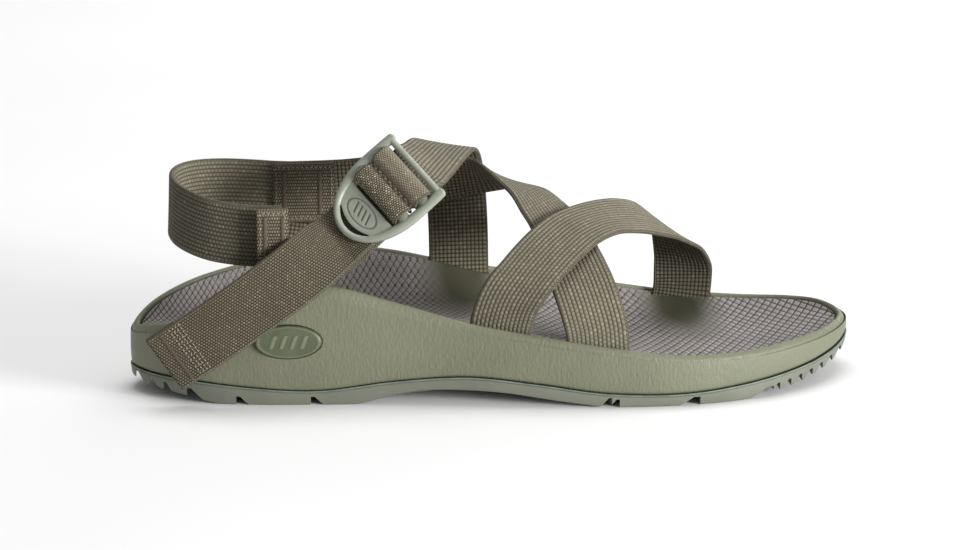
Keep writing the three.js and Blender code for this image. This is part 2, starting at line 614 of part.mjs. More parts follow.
function shankPlate(grow, depth) {
  const steps = 10;
  const half = SHANK.width / 2 + grow;
  return throughSections(Array.from({ length: steps + 1 }, (_, i) => {
    const x = THREE.MathUtils.lerp(SHANK.start - grow, SHANK.end + grow, i / steps);
    const top = SHANK_BOTTOM(x) + SHANK.thick + grow;
    const corners = [[-half, top - depth], [half, top - depth], [half, top], [-half, top]];
    return corners.map(([y, z]) => new THREE.Vector3(x, y, z));
  }));
}

// ---- Assembly --------------------------------------------------------------------------------
const slotCutters = [FOREFOOT_STRAP, DIAGONAL_STRAP, INSTEP_STRAP, RISER_OUTER, RISER_INNER]
  .map((stations) => webbing(stations, { grow: SLOT_CLEARANCE }));
const treadCutters = [...TREAD_GROOVES.map(treadGroove), ...LONG_GROOVES.map(longGroove)];
const badgeRecess = badgeOval(0.35, 6);
const shankPocket = shankPlate(0.3, 8);

place('outsole', cut(outsoleBlank(), treadCutters), 'outsoleRubber');
place('midsole', cut(midsoleBlank(), [...slotCutters, badgeRecess, shankPocket]), 'midsoleFoam');
place('footbed', cut(footbedBlank(), slotCutters), 'footbedFoam');
place('arch_shank', shankPlate(0, SHANK.thick), 'shankNylon');
place('side_badge', badgeOval(0, BADGE.thick), 'badge');

const STRAPS = {
  strap_forefoot: { stations: FOREFOOT_STRAP, steps: STRAP_STEPS },
  strap_diagonal: { stations: DIAGONAL_STRAP, steps: STRAP_STEPS },
  strap_instep: { stations: INSTEP_STRAP, steps: STRAP_STEPS },
  riser_outer: { stations: RISER_OUTER, steps: STRAP_STEPS },
  riser_inner: { stations: RISER_INNER, steps: STRAP_STEPS },
  heel_strap: { stations: HEEL_STRAP, steps: STRAP_STEPS },
  strap_tail: { stations: TAIL, steps: 30 },
  tail_hem: { stations: TAIL_HEM, steps: 4 },
  tail_under_tab: { stations: TAIL_UNDER_TAB, steps: 8 },
  instep_loop_end: { stations: LOOP_END, steps: 10 },
};
for (const [name, { stations, steps }] of Object.entries(STRAPS)) {
  place(name, webbing(stations, { steps }), 'strapWebbing');
}

place('heel_patch_outer', sewnPatch(-87.1, -33.0, 65.4, 12.2), 'strapWebbing');
place('heel_patch_inner', sewnPatch(-73, 28.9, 71.2, 25), 'strapWebbing');
place('bar_tack_outer_rear', barTack(-90.0, -34.3, 65.4), 'stitching');
place('bar_tack_outer_front', barTack(-83.2, -34.3, 65.4), 'stitching');
place('bar_tack_inner_rear', barTack(-81, 27.5, 71.2), 'stitching');
place('bar_tack_inner_front', barTack(-66.5, 27.5, 71.2), 'stitching');

const buckle = buckleGroup();
place('buckle_frame', buckleFrame(), 'buckleNylon', buckle);
place('wrap_fixed', barWrap(), 'strapWebbing', buckle).position.setX(BAR_A);
place('wrap_sliding', barWrap(), 'strapWebbing', buckle).position.setX(BAR_B);

export default sandal;
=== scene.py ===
"""The finished look of a right-foot sport sandal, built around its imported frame.

Lengths in the tables and in the driving values are millimetres, laid out from the middle of the
foot; LAYOUT_SHIFT and MM bring them to the frame. +X is the toe, +Y the inner side of the foot.
"""
import math

import bpy
import numpy as np
from mathutils import Matrix, Vector


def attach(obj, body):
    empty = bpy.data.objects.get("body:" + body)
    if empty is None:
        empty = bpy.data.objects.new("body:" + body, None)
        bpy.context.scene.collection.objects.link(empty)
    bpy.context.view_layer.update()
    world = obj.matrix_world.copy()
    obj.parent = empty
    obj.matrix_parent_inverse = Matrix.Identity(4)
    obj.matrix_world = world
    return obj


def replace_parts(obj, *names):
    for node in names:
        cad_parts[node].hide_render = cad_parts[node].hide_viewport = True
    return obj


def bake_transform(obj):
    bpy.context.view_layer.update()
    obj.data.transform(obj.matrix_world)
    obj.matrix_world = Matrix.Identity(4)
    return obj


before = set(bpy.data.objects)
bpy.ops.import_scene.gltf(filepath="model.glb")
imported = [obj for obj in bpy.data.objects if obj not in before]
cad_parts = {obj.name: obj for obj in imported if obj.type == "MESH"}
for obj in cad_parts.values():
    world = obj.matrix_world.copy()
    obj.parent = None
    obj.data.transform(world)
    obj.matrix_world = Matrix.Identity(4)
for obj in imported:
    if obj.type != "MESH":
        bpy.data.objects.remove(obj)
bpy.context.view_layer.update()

# ---- Driving values ------------------------------------------------------------------------
MM = 0.001
LAYOUT_SHIFT = np.array([-1.7, -0.6, 0.0])
WEB_WIDTH = 24.5
WEB_THICK = 1.9
WRAP_THICK = 1.5
FIXED_WRAP_WIDTH = 27.8             # webbing spreads until it meets the frame's rails
SLIDING_WRAP_WIDTH = 26.5
WRAP_RISE = 1.2                     # height of the wrap's round against its width
RIB_COUNT = 15                      # lengthwise ribs across the webbing
RIB_PITCH = WEB_WIDTH / RIB_COUNT
WEFT_PITCH = 1.7                    # distance between crossing threads along the webbing
RIB_RELIEF = 0.11
SLOT_CLEARANCE = 0.45
LIP_WIDTH = 4.0
LIP_DROP = 1.2
FOOTBED_THICK = 4.2
PART_GAP = 0.3
TREAD_DEPTH = 3.4
DISH_POWER = 2.6

SOLE_EDGE = [
    (-143.6, -1, 26.5, 9.6), (-136.8, -18, 28.5, 9.6), (-120, -30.5, 33.5, 8.8), (-95, -36.5, 43.0, 6.6),
    (-70, -38.5, 48.0, 5.6), (-40, -40.5, 40.6, 9.2), (-12, -44.5, 32.6, 11.2), (15, -49, 28.0, 8.8),
    (42, -52.5, 23.8, 5.4), (72, -52, 19.8, 4.6), (100, -44.5, 19.4, 6.6), (124, -30, 20.8, 9.6),
    (140, -12, 21.8, 12.8), (147, 7, 22.6, 15.6), (142, 26, 23.3, 15.0), (130, 38.5, 22.6, 12.2),
    (108, 48.5, 21.4, 8.2), (80, 53.5, 22.8, 5.0), (50, 53.5, 27.3, 5.2), (20, 48, 33.2, 8.8),
    (-10, 42.8, 38.8, 11.2), (-38, 40.6, 45.2, 9.4), (-62, 40, 47.5, 5.8), (-90, 38.5, 43.0, 5.8),
    (-118, 31.5, 37.0, 8.4), (-135.6, 17, 31.5, 9.6),
]
FOOTBED_MIDDLE = [
    (-145, 25.4), (-125, 25.0), (-100, 25.5), (-70, 27.0), (-40, 28.8), (-10, 28.2), (15, 25.2),
    (40, 21.4), (70, 18.4), (100, 17.7), (125, 19.2), (147, 21.4),
]
TREAD_BOTTOM = [
    (-147, 5.4), (-126, 3.3), (-106, 0), (-95, 0), (-58, 0), (-38, 4.3), (-20, 6.1), (2, 5.2),
    (24, 2.2), (46, 0), (60, 0), (92, 0), (112, 1.7), (128, 4.7), (140, 8.2), (149, 12.4),
]
# Saw-tooth grooves across the tread: x, width at the ground, yaw in degrees, side of the upright wall
# (1 towards the toe, -1 towards the heel). Grooves along it: start, end, y.
TREAD_GROOVES = [
    (-140, 3.2, 0, -1), (-134.5, 3.2, 0, -1), (-129, 3.2, 0, -1), (-121, 5, 4, -1), (-96.7, 5.2, -5, -1),
    (-68, 5.2, -4, -1), (36, 4.2, 6, 1), (50, 4.2, -6, 1), (69, 8.5, 6, 1), (80, 3.4, -5, 1),
    (102, 9.6, 4, 1), (110.6, 3.6, 0, 1), (115.6, 3.6, 0, 1), (120.6, 3.6, 0, 1), (125.6, 3.6, 0, 1),
    (130.6, 3.6, 0, 1), (135.6, 3.6, 0, 1), (140.6, 3.6, 0, 1),
]
LONG_GROOVES = [(-128, -60, -13), (-128, -60, 13), (44, 128, -18), (44, 128, 20)]

# Webbing routes: each station is a centre and the direction of the webbing's width.
AT_BUCKLE = (0.566, -0.591, -0.574)  # the direction of the width along the buckle
FOREFOOT_STRAP = [
    (-4.5, -2, 17.4, 1, 0.1, 0), (-3.0, -20, 17.4, 1, 0.1, 0), (-0.8, -34, 19.2, 1, 0, 0.02),
    (0.6, -40.0, 25, 0.98, -0.2, -0.05), (1.2, -41.0, 32, 0.93, -0.32, -0.16),
    (4.4, -42.0, 41.5, 0.86, -0.4, -0.26), (10.4, -41.0, 49.6, 0.78, -0.5, -0.34),
    (17.2, -36.0, 56, 0.75, -0.54, -0.38), (24.5, -28.5, 61, 0.73, -0.58, -0.38),
    (32.6, -18.5, 64.4, 0.72, -0.61, -0.34), (42, -7.5, 65.4, 0.72, -0.61, -0.32),
    (51.6, 3.5, 64.3, 0.72, -0.54, -0.41), (61.6, 14.5, 61.7, 0.72, -0.47, -0.5),
    (71.5, 25, 57, 0.74, -0.41, -0.53), (79.8, 35, 48.8, 0.8, -0.34, -0.47),
    (84.4, 42.5, 38, 0.9, -0.25, -0.28), (85.4, 46, 29.5, 1, -0.04, -0.12),
    (84.8, 46.5, 21, 1, 0, -0.08), (82.5, 42.5, 13.5, 1, -0.1, -0.04), (76, 30, 9.6, 1, -0.3, 0),
    (63, 2, 9.4, 1, -0.45, 0),
]
DIAGONAL_STRAP = [
    (62.4, 0.8, 9.4, 1, -0.45, 0), (49, -28, 9.6, 1, -0.4, 0), (41.5, -42.0, 12.6, 1, -0.15, 0),
    (39.0, -46.6, 20, 1, -0.05, -0.08), (38.0, -47.2, 30, 1, -0.03, 0.04),
    (35.8, -46.4, 38.6, 0.99, -0.03, 0.12), (33.4, -42.6, 46, 0.96, 0.02, 0.2),
    (31.2, -36, 51.6, 0.9, 0.22, 0.26), (29.2, -26, 56.4, 0.76, 0.5, 0.26),
    (27.6, -14.8, 61.4, 0.59, 0.75, 0.24), (22.8, -3.2, 68.4, 0.47, 0.85, 0.2),
    (16.6, 8.5, 74.4, 0.36, 0.92, 0.01), (8.6, 18.4, 77.1, 0.26, 0.9, -0.28),
    (-0.6, 24.8, 77.8, 0.12, 0.74, -0.64), (-11.5, 27.6, 77.2, 0.04, 0.5, -0.86),
    (-27, 30.2, 75.2, 0, 0.26, -0.97), (-44, 32.6, 72.9, 0, 0.06, -1), (-60, 33.6, 71.4, 0, 0, -1),
    (-86, 33.6, 71.0, 0, 0, -1),
]
INSTEP_STRAP = [
    (-5.0, 1, 17.4, 1, 0.1, 0), (-6.6, 20, 17.4, 1, 0.05, 0), (-8.2, 32.6, 19.6, 1, 0, 0),
    (-9.0, 37.2, 27, 1, 0, 0), (-9.2, 37.8, 38, 1, 0, 0.02), (-9.4, 38.2, 52, 1, 0, 0.04),
    (-10, 38.2, 65, 1, -0.02, 0.05), (-11.2, 35.8, 76, 0.99, -0.08, 0.06),
    (-13.0, 29.4, 85.4, 0.98, -0.16, 0), (-15.8, 19.2, 91.4, 0.97, -0.2, -0.12),
    (-19.6, 7, 92.7, 0.92, -0.3, -0.24), (-23.8, -5, 91.8, 0.8, -0.46, -0.36),
    (-27.4, -14.4, 90.9, 0.65, -0.56, -0.5), (-30.2, -20.0, 89.1, *AT_BUCKLE),
    (-34.2, -20.8, 85.2, *AT_BUCKLE),
]
RISER_OUTER = [
    (-78.5, -1, 13, 1, 0, 0), (-79, -20, 13.2, 1, 0, 0), (-79.5, -29, 16, 1, 0, 0),
    (-79.8, -32.6, 24, 1, 0, -0.04), (-79.8, -33.0, 37, 0.99, 0, -0.12),
    (-78.6, -31.8, 46.5, 0.96, 0, -0.26), (-75.2, -30.4, 52.6, 0.86, 0, -0.5),
    (-70.6, -28.6, 56.8, 0.7, -0.2, -0.68), (-65.5, -25.8, 59.0, 0.6, -0.46, -0.65),
    (-60.0, -23.0, 61.8, 0.57, -0.56, -0.6), (-53.9, -22.2, 67.3, *AT_BUCKLE),
    (-45.6, -21.1, 74.4, *AT_BUCKLE), (-41.2, -20.6, 78.2, *AT_BUCKLE),
]
RISER_INNER = [
    (-78.5, 1, 13, 1, 0, 0), (-78, 21, 13.2, 1, 0, 0), (-77.5, 30, 16, 1, 0, 0),
    (-77.2, 33.6, 24, 1, 0, 0), (-77, 34.6, 38, 1, 0, 0), (-76, 35.6, 50, 1, 0, 0),
    (-74.6, 36.1, 60, 1, 0, 0.04), (-73.6, 36.1, 82.5, 1, 0, 0.04),
]
HEEL_STRAP = [
    (-83.4, -25.3, 65.0, 0, 0, -1), (-88, -25.3, 65.1, 0, 0, -1), (-94, -25.3, 65.4, 0, 0, -1),
    (-102.4, -24.9, 66.2, 0, 0, -1), (-111.6, -22.2, 67.6, 0, -0.02, -1),
    (-119.4, -16.2, 69.6, -0.03, -0.02, -1), (-124.8, -8, 71.8, -0.04, 0, -1),
    (-126.4, 3, 73.6, -0.04, 0, -1), (-123.2, 14, 74.6, -0.03, 0.03, -1),
    (-116, 23.4, 74.4, 0, 0.04, -1), (-105.5, 29.2, 73.6, 0, 0.02, -1), (-94, 31.1, 72.6, 0, 0, -1),
    (-84, 31.1, 71.8, 0, 0, -1), (-73, 31.1, 71.2, 0, 0, -1),
]
TAIL_UNDER_TAB = [
    (-46.2, -23.35, 76.2, *AT_BUCKLE), (-54.8, -24.4, 68.9, *AT_BUCKLE),
    (-58.8, -24.9, 65.5, *AT_BUCKLE),
]
TAIL = [
    (-61.6, -26.5, 63.5, *AT_BUCKLE), (-65.2, -29.8, 61.7, 0.57, -0.5, -0.65),
    (-69.2, -33.9, 59.4, 0.58, -0.34, -0.72), (-74.8, -37.6, 55.6, 0.585, -0.15, -0.78),
    (-83, -39.8, 49.8, 0.59, -0.05, -0.8), (-94.5, -40.5, 41.7, 0.59, 0, -0.8),
    (-107, -40, 32.9, 0.59, 0, -0.8), (-119.5, -38.8, 24.3, 0.59, 0, -0.8),
    (-129.8, -37.2, 17.2, 0.59, 0, -0.8),
]
TAIL_HEM = [(-119.5, -36.5, 24.3, 0.59, 0, -0.8), (-129.8, -34.9, 17.2, 0.59, 0, -0.8)]
LOOP_END = [
    (-35.2, -19, 82, *AT_BUCKLE), (-31.6, -18.4, 85, *AT_BUCKLE),
    (-27.4, -16.6, 88.1, *AT_BUCKLE),
]

STRAPS_IN_SOLE = [FOREFOOT_STRAP, DIAGONAL_STRAP, INSTEP_STRAP, RISER_OUTER, RISER_INNER]

# The buckle: where it is, its own directions, and places along it.
BUCKLE_CENTRE = np.array([-40.8, -25.0, 83.2])
BUCKLE_ALONG = Vector((0.757, 0.099, 0.645)).normalized()
BUCKLE_OUT = Vector((-0.325, -0.8, 0.504))
BUCKLE_THICK = 3.0
END_BAR = 13.0
BAR_A = 6.2
BAR_B = -3.8
TAB_EDGE = -9.4
HORN_END = 15.4
FRAME_END = -25.6
BAR_RADIUS = 1.35
BAR_FLAT = 1.05                     # half the extra length of the flat bars A and B
RAIL_OUTER = 18.3
RAIL_WIDTH = 4.2

# The badge, on the midsole's outer wall.
BADGE_CENTRE = (-81.8, -38.0, 25.6)
BADGE_YAW = math.radians(-2.4)
BADGE_HALF_LENGTH = 13.2
BADGE_HALF_HEIGHT = 6.7
BADGE_THICK = 1.6                   # how far its recess goes into the midsole
BADGE_CLEARANCE = 0.35


# ---- Curves --------------------------------------------------------------------------------
def catmull(points, t, closed=False):
    """Points of a uniform Catmull-Rom curve, for t from 0 to 1 over the whole row of points."""
    points = np.asarray(points, float)
    if closed:
        padded = np.vstack([points[-1:], points, points[:2]])
        spans = len(points)
    else:
        padded = np.vstack([2 * points[0] - points[1], points, 2 * points[-1] - points[-2]])
        spans = len(points) - 1
    place = np.clip(np.asarray(t, float) * spans, 0, spans - 1e-9)
    index = place.astype(int)
    f = (place - index)[:, None]
    p0, p1, p2, p3 = (padded[index + k] for k in range(4))
    leave, arrive = 0.5 * (p2 - p0), 0.5 * (p3 - p1)
    rise = 3 * f**2 - 2 * f**3
    return (1 - rise) * p1 + rise * p2 + (f**3 - 2 * f**2 + f) * leave + (f**3 - f**2) * arrive


def even_places(points, step):
    """Values of t that are about step millimetres apart along the curve."""
    t = np.linspace(0, 1, 60 * len(points))
    line = catmull(points, t)
    run = np.concatenate([[0], np.cumsum(np.linalg.norm(np.diff(line, axis=0), axis=1))])
    count = max(2, int(round(run[-1] / step)))
    return np.interp(np.linspace(0, run[-1], count + 1), run, t), run[-1]


def smooth_profile(points):
    """A smooth height along x through a few points, level at each high and low point."""
    x, y = np.array(points, float).T
    slope = np.zeros(len(x))
    for i in range(len(x)):
        a, b = max(i - 1, 0), min(i + 1, len(x) - 1)
        if (y[i] - y[a]) * (y[b] - y[i]) > 0:
            slope[i] = (y[b] - y[a]) / (x[b] - x[a])

    def height(at):
        at = np.clip(np.asarray(at, float), x[0], x[-1])
        i = np.clip(np.searchsorted(x, at) - 1, 0, len(x) - 2)
        span = x[i + 1] - x[i]
        f = (at - x[i]) / span
        rise = 3 * f**2 - 2 * f**3
        bends = (f**3 - 2 * f**2 + f) * slope[i] + (f**3 - f**2) * slope[i + 1]
        return (1 - rise) * y[i] + rise * y[i + 1] + span * bends

    return height


def unit(v):
    return v / np.linalg.norm(v, axis=-1, keepdims=True)


# ---- Meshes --------------------------------------------------------------------------------
def mesh_object(name, vertices, faces, materials=(), zones=None, uv=None):
    """An object from vertices in layout millimetres; zones are material numbers, uv is per corner."""
    mesh = bpy.data.meshes.new(name)
    mesh.from_pydata(((np.asarray(vertices) + LAYOUT_SHIFT) * MM).tolist(), [], faces)
    for material in materials:
        mesh.materials.append(material)
    if zones is not None:
        mesh.polygons.foreach_set("material_index", np.asarray(zones, np.int32))
    if uv is not None:
        layer = mesh.uv_layers.new(name="web")
        layer.data.foreach_set("uv", np.asarray(uv, np.float32).ravel())
    mesh.polygons.foreach_set("use_smooth", [True] * len(mesh.polygons))
    mesh.update()
    obj = bpy.data.objects.new(name, mesh)
    bpy.context.scene.collection.objects.link(obj)
    return obj


def ring_faces(rings, sides, closed=False):
    """Quads between neighbouring rings of points; closed joins the last ring to the first."""
    ring = np.arange(rings if closed else rings - 1)[:, None]
    point = np.arange(sides)[None]
    here, ahead = ring * sides, (ring + 1) % rings * sides
    after = (point + 1) % sides
    quads = np.stack(np.broadcast_arrays(here + point, here + after, ahead + after, ahead + point), -1)
    return quads.reshape(-1, 4).tolist()


def ring_caps(rings, sides):
    """The end faces of a row of rings."""
    return [list(range(sides))[::-1], list(range((rings - 1) * sides, rings * sides))]


def point_values(obj, name, values):
    """Stores a value on each point of the mesh, for its material to read."""
    attribute = obj.data.attributes.new(name, "FLOAT", "POINT")
    attribute.data.foreach_set("value", np.asarray(values, np.float32))


def turn_outwards(obj):
    """Makes the faces of a closed mesh point out."""
    places = np.array([v.co for v in obj.data.vertices])
    corners = np.array([p.vertices[:3] for p in obj.data.polygons])
    a, b, c = places[corners].transpose(1, 0, 2)
    if np.sum(a * np.cross(b, c)) < 0:
        obj.data.flip_normals()
    return obj


def apply_modifiers(obj):
    bpy.context.view_layer.update()
    evaluated = obj.evaluated_get(bpy.context.evaluated_depsgraph_get())
    mesh = bpy.data.meshes.new_from_object(evaluated)
    obj.modifiers.clear()
    obj.data = mesh
    return obj


def carve(obj, cutters):
    """Cuts closed shapes out of obj, and removes the shapes."""
    for cutter in cutters:
        modifier = obj.modifiers.new("cut", "BOOLEAN")
        modifier.operation = "DIFFERENCE"
        modifier.solver = "MANIFOLD"
        modifier.object = cutter
        apply_modifiers(obj)
        bpy.data.objects.remove(cutter)
    return obj


def soften_corners(obj, degrees):
    """Smooth shading with sharp edges where faces meet at more than this angle."""
    obj.data.set_sharp_from_angle(angle=math.radians(degrees))
    return obj


# ---- Sole surfaces ---------------------------------------------------------------------------
RING_SAMPLES = 560
FINE_RING_SAMPLES = 1400            # for the footbed, whose pads are small
END_CROWDING = 0.6                  # how far points move from the sole's sides to its ends
FINE_END_CROWDING = 0.25
footbed_height = smooth_profile(FOOTBED_MIDDLE)
tread_height = smooth_profile(TREAD_BOTTOM)


def ring_places(count):
    """Places round the sole's edge, so that samples i and count - i face each other."""
    crowding = END_CROWDING if count < FINE_RING_SAMPLES else FINE_END_CROWDING
    x = [p[0] for p in SOLE_EDGE]
    toe = x.index(max(x)) / len(x)
    i = np.arange(count)
    along = np.where(i <= count / 2, i, count - i) / (count / 2)
    eased = 0.5 - 0.5 * np.cos(np.pi * along)
    share = along + (eased - along) * crowding
    return np.where(i <= count / 2, toe * share, 1 - (1 - toe) * share)


def sole_ring(count, inset, height):
    """A ring moved in from the sole's edge; height takes the rim, the parting line and x."""
    t = ring_places(count)
    edge = catmull(SOLE_EDGE, t, closed=True)
    ahead = catmull(SOLE_EDGE, (t + 1e-4) % 1, closed=True)
    behind = catmull(SOLE_EDGE, (t - 1e-4) % 1, closed=True)
    tangent = unit((ahead - behind)[:, :2])
    x = edge[:, 0] - inset * tangent[:, 1]
    y = edge[:, 1] + inset * tangent[:, 0]
    return np.column_stack([x, y, height(edge[:, 2], edge[:, 3], x)])


def deck(ring, columns, height):
    """Rows of points across a ring, between its first and last point: vertices inside the ring."""
    half = len(ring) // 2
    outer, inner = ring[1:half], ring[:half:-1]
    share = np.arange(1, columns) / columns
    points = outer[:, None] + (inner - outer)[:, None] * share[None, :, None]
    points[..., 2] = height(points, outer[:, None, 2], inner[:, None, 2], 2 * share[None] - 1)
    return points


def layered_solid(name, rings, lower, upper, materials):
    """Closed solid from a stack of rings. lower and upper are (columns, height) of the two decks."""
    count = len(rings[0])
    half = count // 2
    vertices = [*rings]
    faces = ring_faces(len(rings), count)
    total = len(rings) * count
    triangles = []
    for base, (columns, height), up in ((0, lower, False), ((len(rings) - 1) * count, upper, True)):
        inside = deck(rings[0] if not up else rings[-1], columns, height)
        grid = np.empty((half - 1, columns + 1), int)
        grid[:, 0] = base + np.arange(1, half)
        grid[:, -1] = base + np.arange(count - 1, half, -1)
        grid[:, 1:-1] = total + np.arange(inside[..., 0].size).reshape(half - 1, columns - 1)
        vertices.append(inside.reshape(-1, 3))
        total += inside[..., 0].size
        a, b, c, d = grid[:-1, :-1], grid[1:, :-1], grid[1:, 1:], grid[:-1, 1:]
        quads = np.stack([a, b, c, d], -1).reshape(-1, 4)
        faces += (quads if up else quads[:, ::-1]).tolist()
        heel = np.column_stack([np.full(columns, base), grid[0, :-1], grid[0, 1:]])
        toe = np.column_stack([np.full(columns, base + half), grid[-1, 1:], grid[-1, :-1]])
        fans = np.vstack([heel, toe])
        triangles.append(fans if up else fans[:, ::-1])
    return mesh_object(name, np.vstack(vertices), faces + np.vstack(triangles).tolist(), materials)


def dish_run(ring):
    """Distance from the dish's middle line to a place, measured along the dish's surface."""
    half = len(ring) // 2
    edges = ring[:half + 1], np.vstack([ring[:1], ring[:half - 1:-1]])
    share = np.linspace(0, 1, 13)

    def run(x, y):
        (near_y, near_z), (far_y, far_z) = (
            [np.interp(x, edge[:, 0], edge[:, k]) for k in (1, 2)] for edge in edges
        )
        half_width = np.maximum((far_y - near_y) / 2, 1.0)
        across = np.clip((y - (far_y + near_y) / 2) / half_width, -1, 1)
        rise = np.where(across < 0, near_z, far_z) - footbed_height(x)
        slope = rise[..., None] * DISH_POWER * (np.abs(across)[..., None] * share) ** (DISH_POWER - 1)
        return across * np.mean(np.sqrt(half_width[..., None] ** 2 + slope**2), axis=-1)

    return run


def dished(drop, relief=None):
    """Height of the footbed's dish; relief is added where it is given."""
    def height(points, outer, inner, across):
        middle = footbed_height(points[..., 0]) - drop
        edge = np.where(across < 0, outer, inner)
        surface = middle + (edge - middle) * np.abs(across) ** DISH_POWER
        return surface if relief is None else surface + relief(points, across)
    return height


def straight_across(points, outer, inner, across):
    return outer + (inner - outer) * (across + 1) * 0.5


# ---- Materials -------------------------------------------------------------------------------
def rgb(code):
    """Linear colour from a hexadecimal sRGB code."""
    parts = [int(code[i:i + 2], 16) / 255 for i in (0, 2, 4)]
    linear = [c / 12.92 if c <= 0.04045 else ((c + 0.055) / 1.055) ** 2.4 for c in parts]
    return (*linear, 1.0)


class Look:
    """One material and short calls for building its nodes."""

    def __init__(self, name, roughness=0.6, specular=0.5, sheen=0.0):
        self.material = bpy.data.materials.new(name)
        self.material.use_nodes = True
        self.tree = self.material.node_tree
        self.tree.nodes.clear()
        self.shader = self.tree.nodes.new("ShaderNodeBsdfPrincipled")
        output = self.tree.nodes.new("ShaderNodeOutputMaterial")
        self.tree.links.new(self.shader.outputs[0], output.inputs[0])
        self.shader.inputs["Roughness"].default_value = roughness
        self.shader.inputs["Specular IOR Level"].default_value = specular
        self.shader.inputs["Sheen Weight"].default_value = sheen

    def link(self, value, socket):
        if isinstance(value, bpy.types.NodeSocket):
            self.tree.links.new(value, socket)
        else:
            socket.default_value = value

    def math(self, operation, *values):
        node = self.tree.nodes.new("ShaderNodeMath")
        node.operation = operation
        for value, socket in zip(values, node.inputs):
            self.link(value, socket)
        return node.outputs[0]

    def position(self):
        return self.tree.nodes.new("ShaderNodeTexCoord").outputs["Object"]

    def stretched(self, x, y, z):
        """The object's own coordinates, scaled along each axis."""
        node = self.tree.nodes.new("ShaderNodeMapping")
        self.link(self.position(), node.inputs["Vector"])
        node.inputs["Scale"].default_value = (x, y, z)
        return node.outputs[0]

    def web_place(self):
        """Millimetres along and across the webbing."""
        node = self.tree.nodes.new("ShaderNodeUVMap")
        node.uv_map = "web"
        split = self.tree.nodes.new("ShaderNodeSeparateXYZ")
        self.link(node.outputs[0], split.inputs[0])
        return split.outputs[0], split.outputs[1]

    def together(self, x, y, z=0.0):
        node = self.tree.nodes.new("ShaderNodeCombineXYZ")
        for value, socket in zip((x, y, z), node.inputs):
            self.link(value, socket)
        return node.outputs[0]

    def attribute(self, name):
        """A value stored on the mesh's points."""
        node = self.tree.nodes.new("ShaderNodeAttribute")
        node.attribute_name = name
        return node.outputs["Fac"]

    def noise(self, vector, scale, detail=2.0, roughness=0.5):
        node = self.tree.nodes.new("ShaderNodeTexNoise")
        self.link(vector, node.inputs["Vector"])
        node.inputs["Scale"].default_value = scale
        node.inputs["Detail"].default_value = detail
        node.inputs["Roughness"].default_value = roughness
        return node.outputs[0]

    def grain(self, fineness, detail=2.0):
        """Fine noise, fineness to the metre."""
        return self.noise(self.stretched(fineness, fineness, fineness), 1.0, detail)

    def clouds(self, scale, dark, light, detail=2.0):
        """Colour that drifts gently between two shades."""
        return self.ramp(self.noise(self.position(), scale, detail), (0.3, dark), (0.7, light))

    def chance(self, vector):
        """A number from 0 to 1 for each whole-numbered place."""
        node = self.tree.nodes.new("ShaderNodeTexWhiteNoise")
        node.noise_dimensions = "2D"
        self.link(vector, node.inputs["Vector"])
        return node.outputs["Value"]

    def ramp(self, value, *stops):
        """Colours at places from 0 to 1."""
        node = self.tree.nodes.new("ShaderNodeValToRGB")
        self.link(value, node.inputs[0])
        elements = node.color_ramp.elements
        while len(elements) < len(stops):
            elements.new(0.5)
        for element, (place, code) in zip(elements, stops):
            element.position = place
            element.color = rgb(code)
        return node.outputs[0]

    def spread(self, value, low, high, to_low, to_high):
        node = self.tree.nodes.new("ShaderNodeMapRange")
        for given, socket in zip((value, low, high, to_low, to_high), node.inputs):
            self.link(given, socket)
        return node.outputs[0]

    def mix(self, factor, a, b, blend="MIX"):
        node = self.tree.nodes.new("ShaderNodeMix")
        node.data_type = "RGBA"
        node.blend_type = blend
        self.link(factor, node.inputs[0])
        self.link(rgb(a) if isinstance(a, str) else a, node.inputs[6])
        self.link(rgb(b) if isinstance(b, str) else b, node.inputs[7])
        return node.outputs[2]

    def bump(self, height, distance, strength=1.0):
        node = self.tree.nodes.new("ShaderNodeBump")
        node.inputs["Strength"].default_value = strength
        node.inputs["Distance"].default_value = distance
        self.link(height, node.inputs["Height"])
        self.link(node.outputs[0], self.shader.inputs["Normal"])

    def colour(self, value):
        self.link(value, self.shader.inputs["Base Color"])

    def roughness(self, value):
        self.link(value, self.shader.inputs["Roughness"])


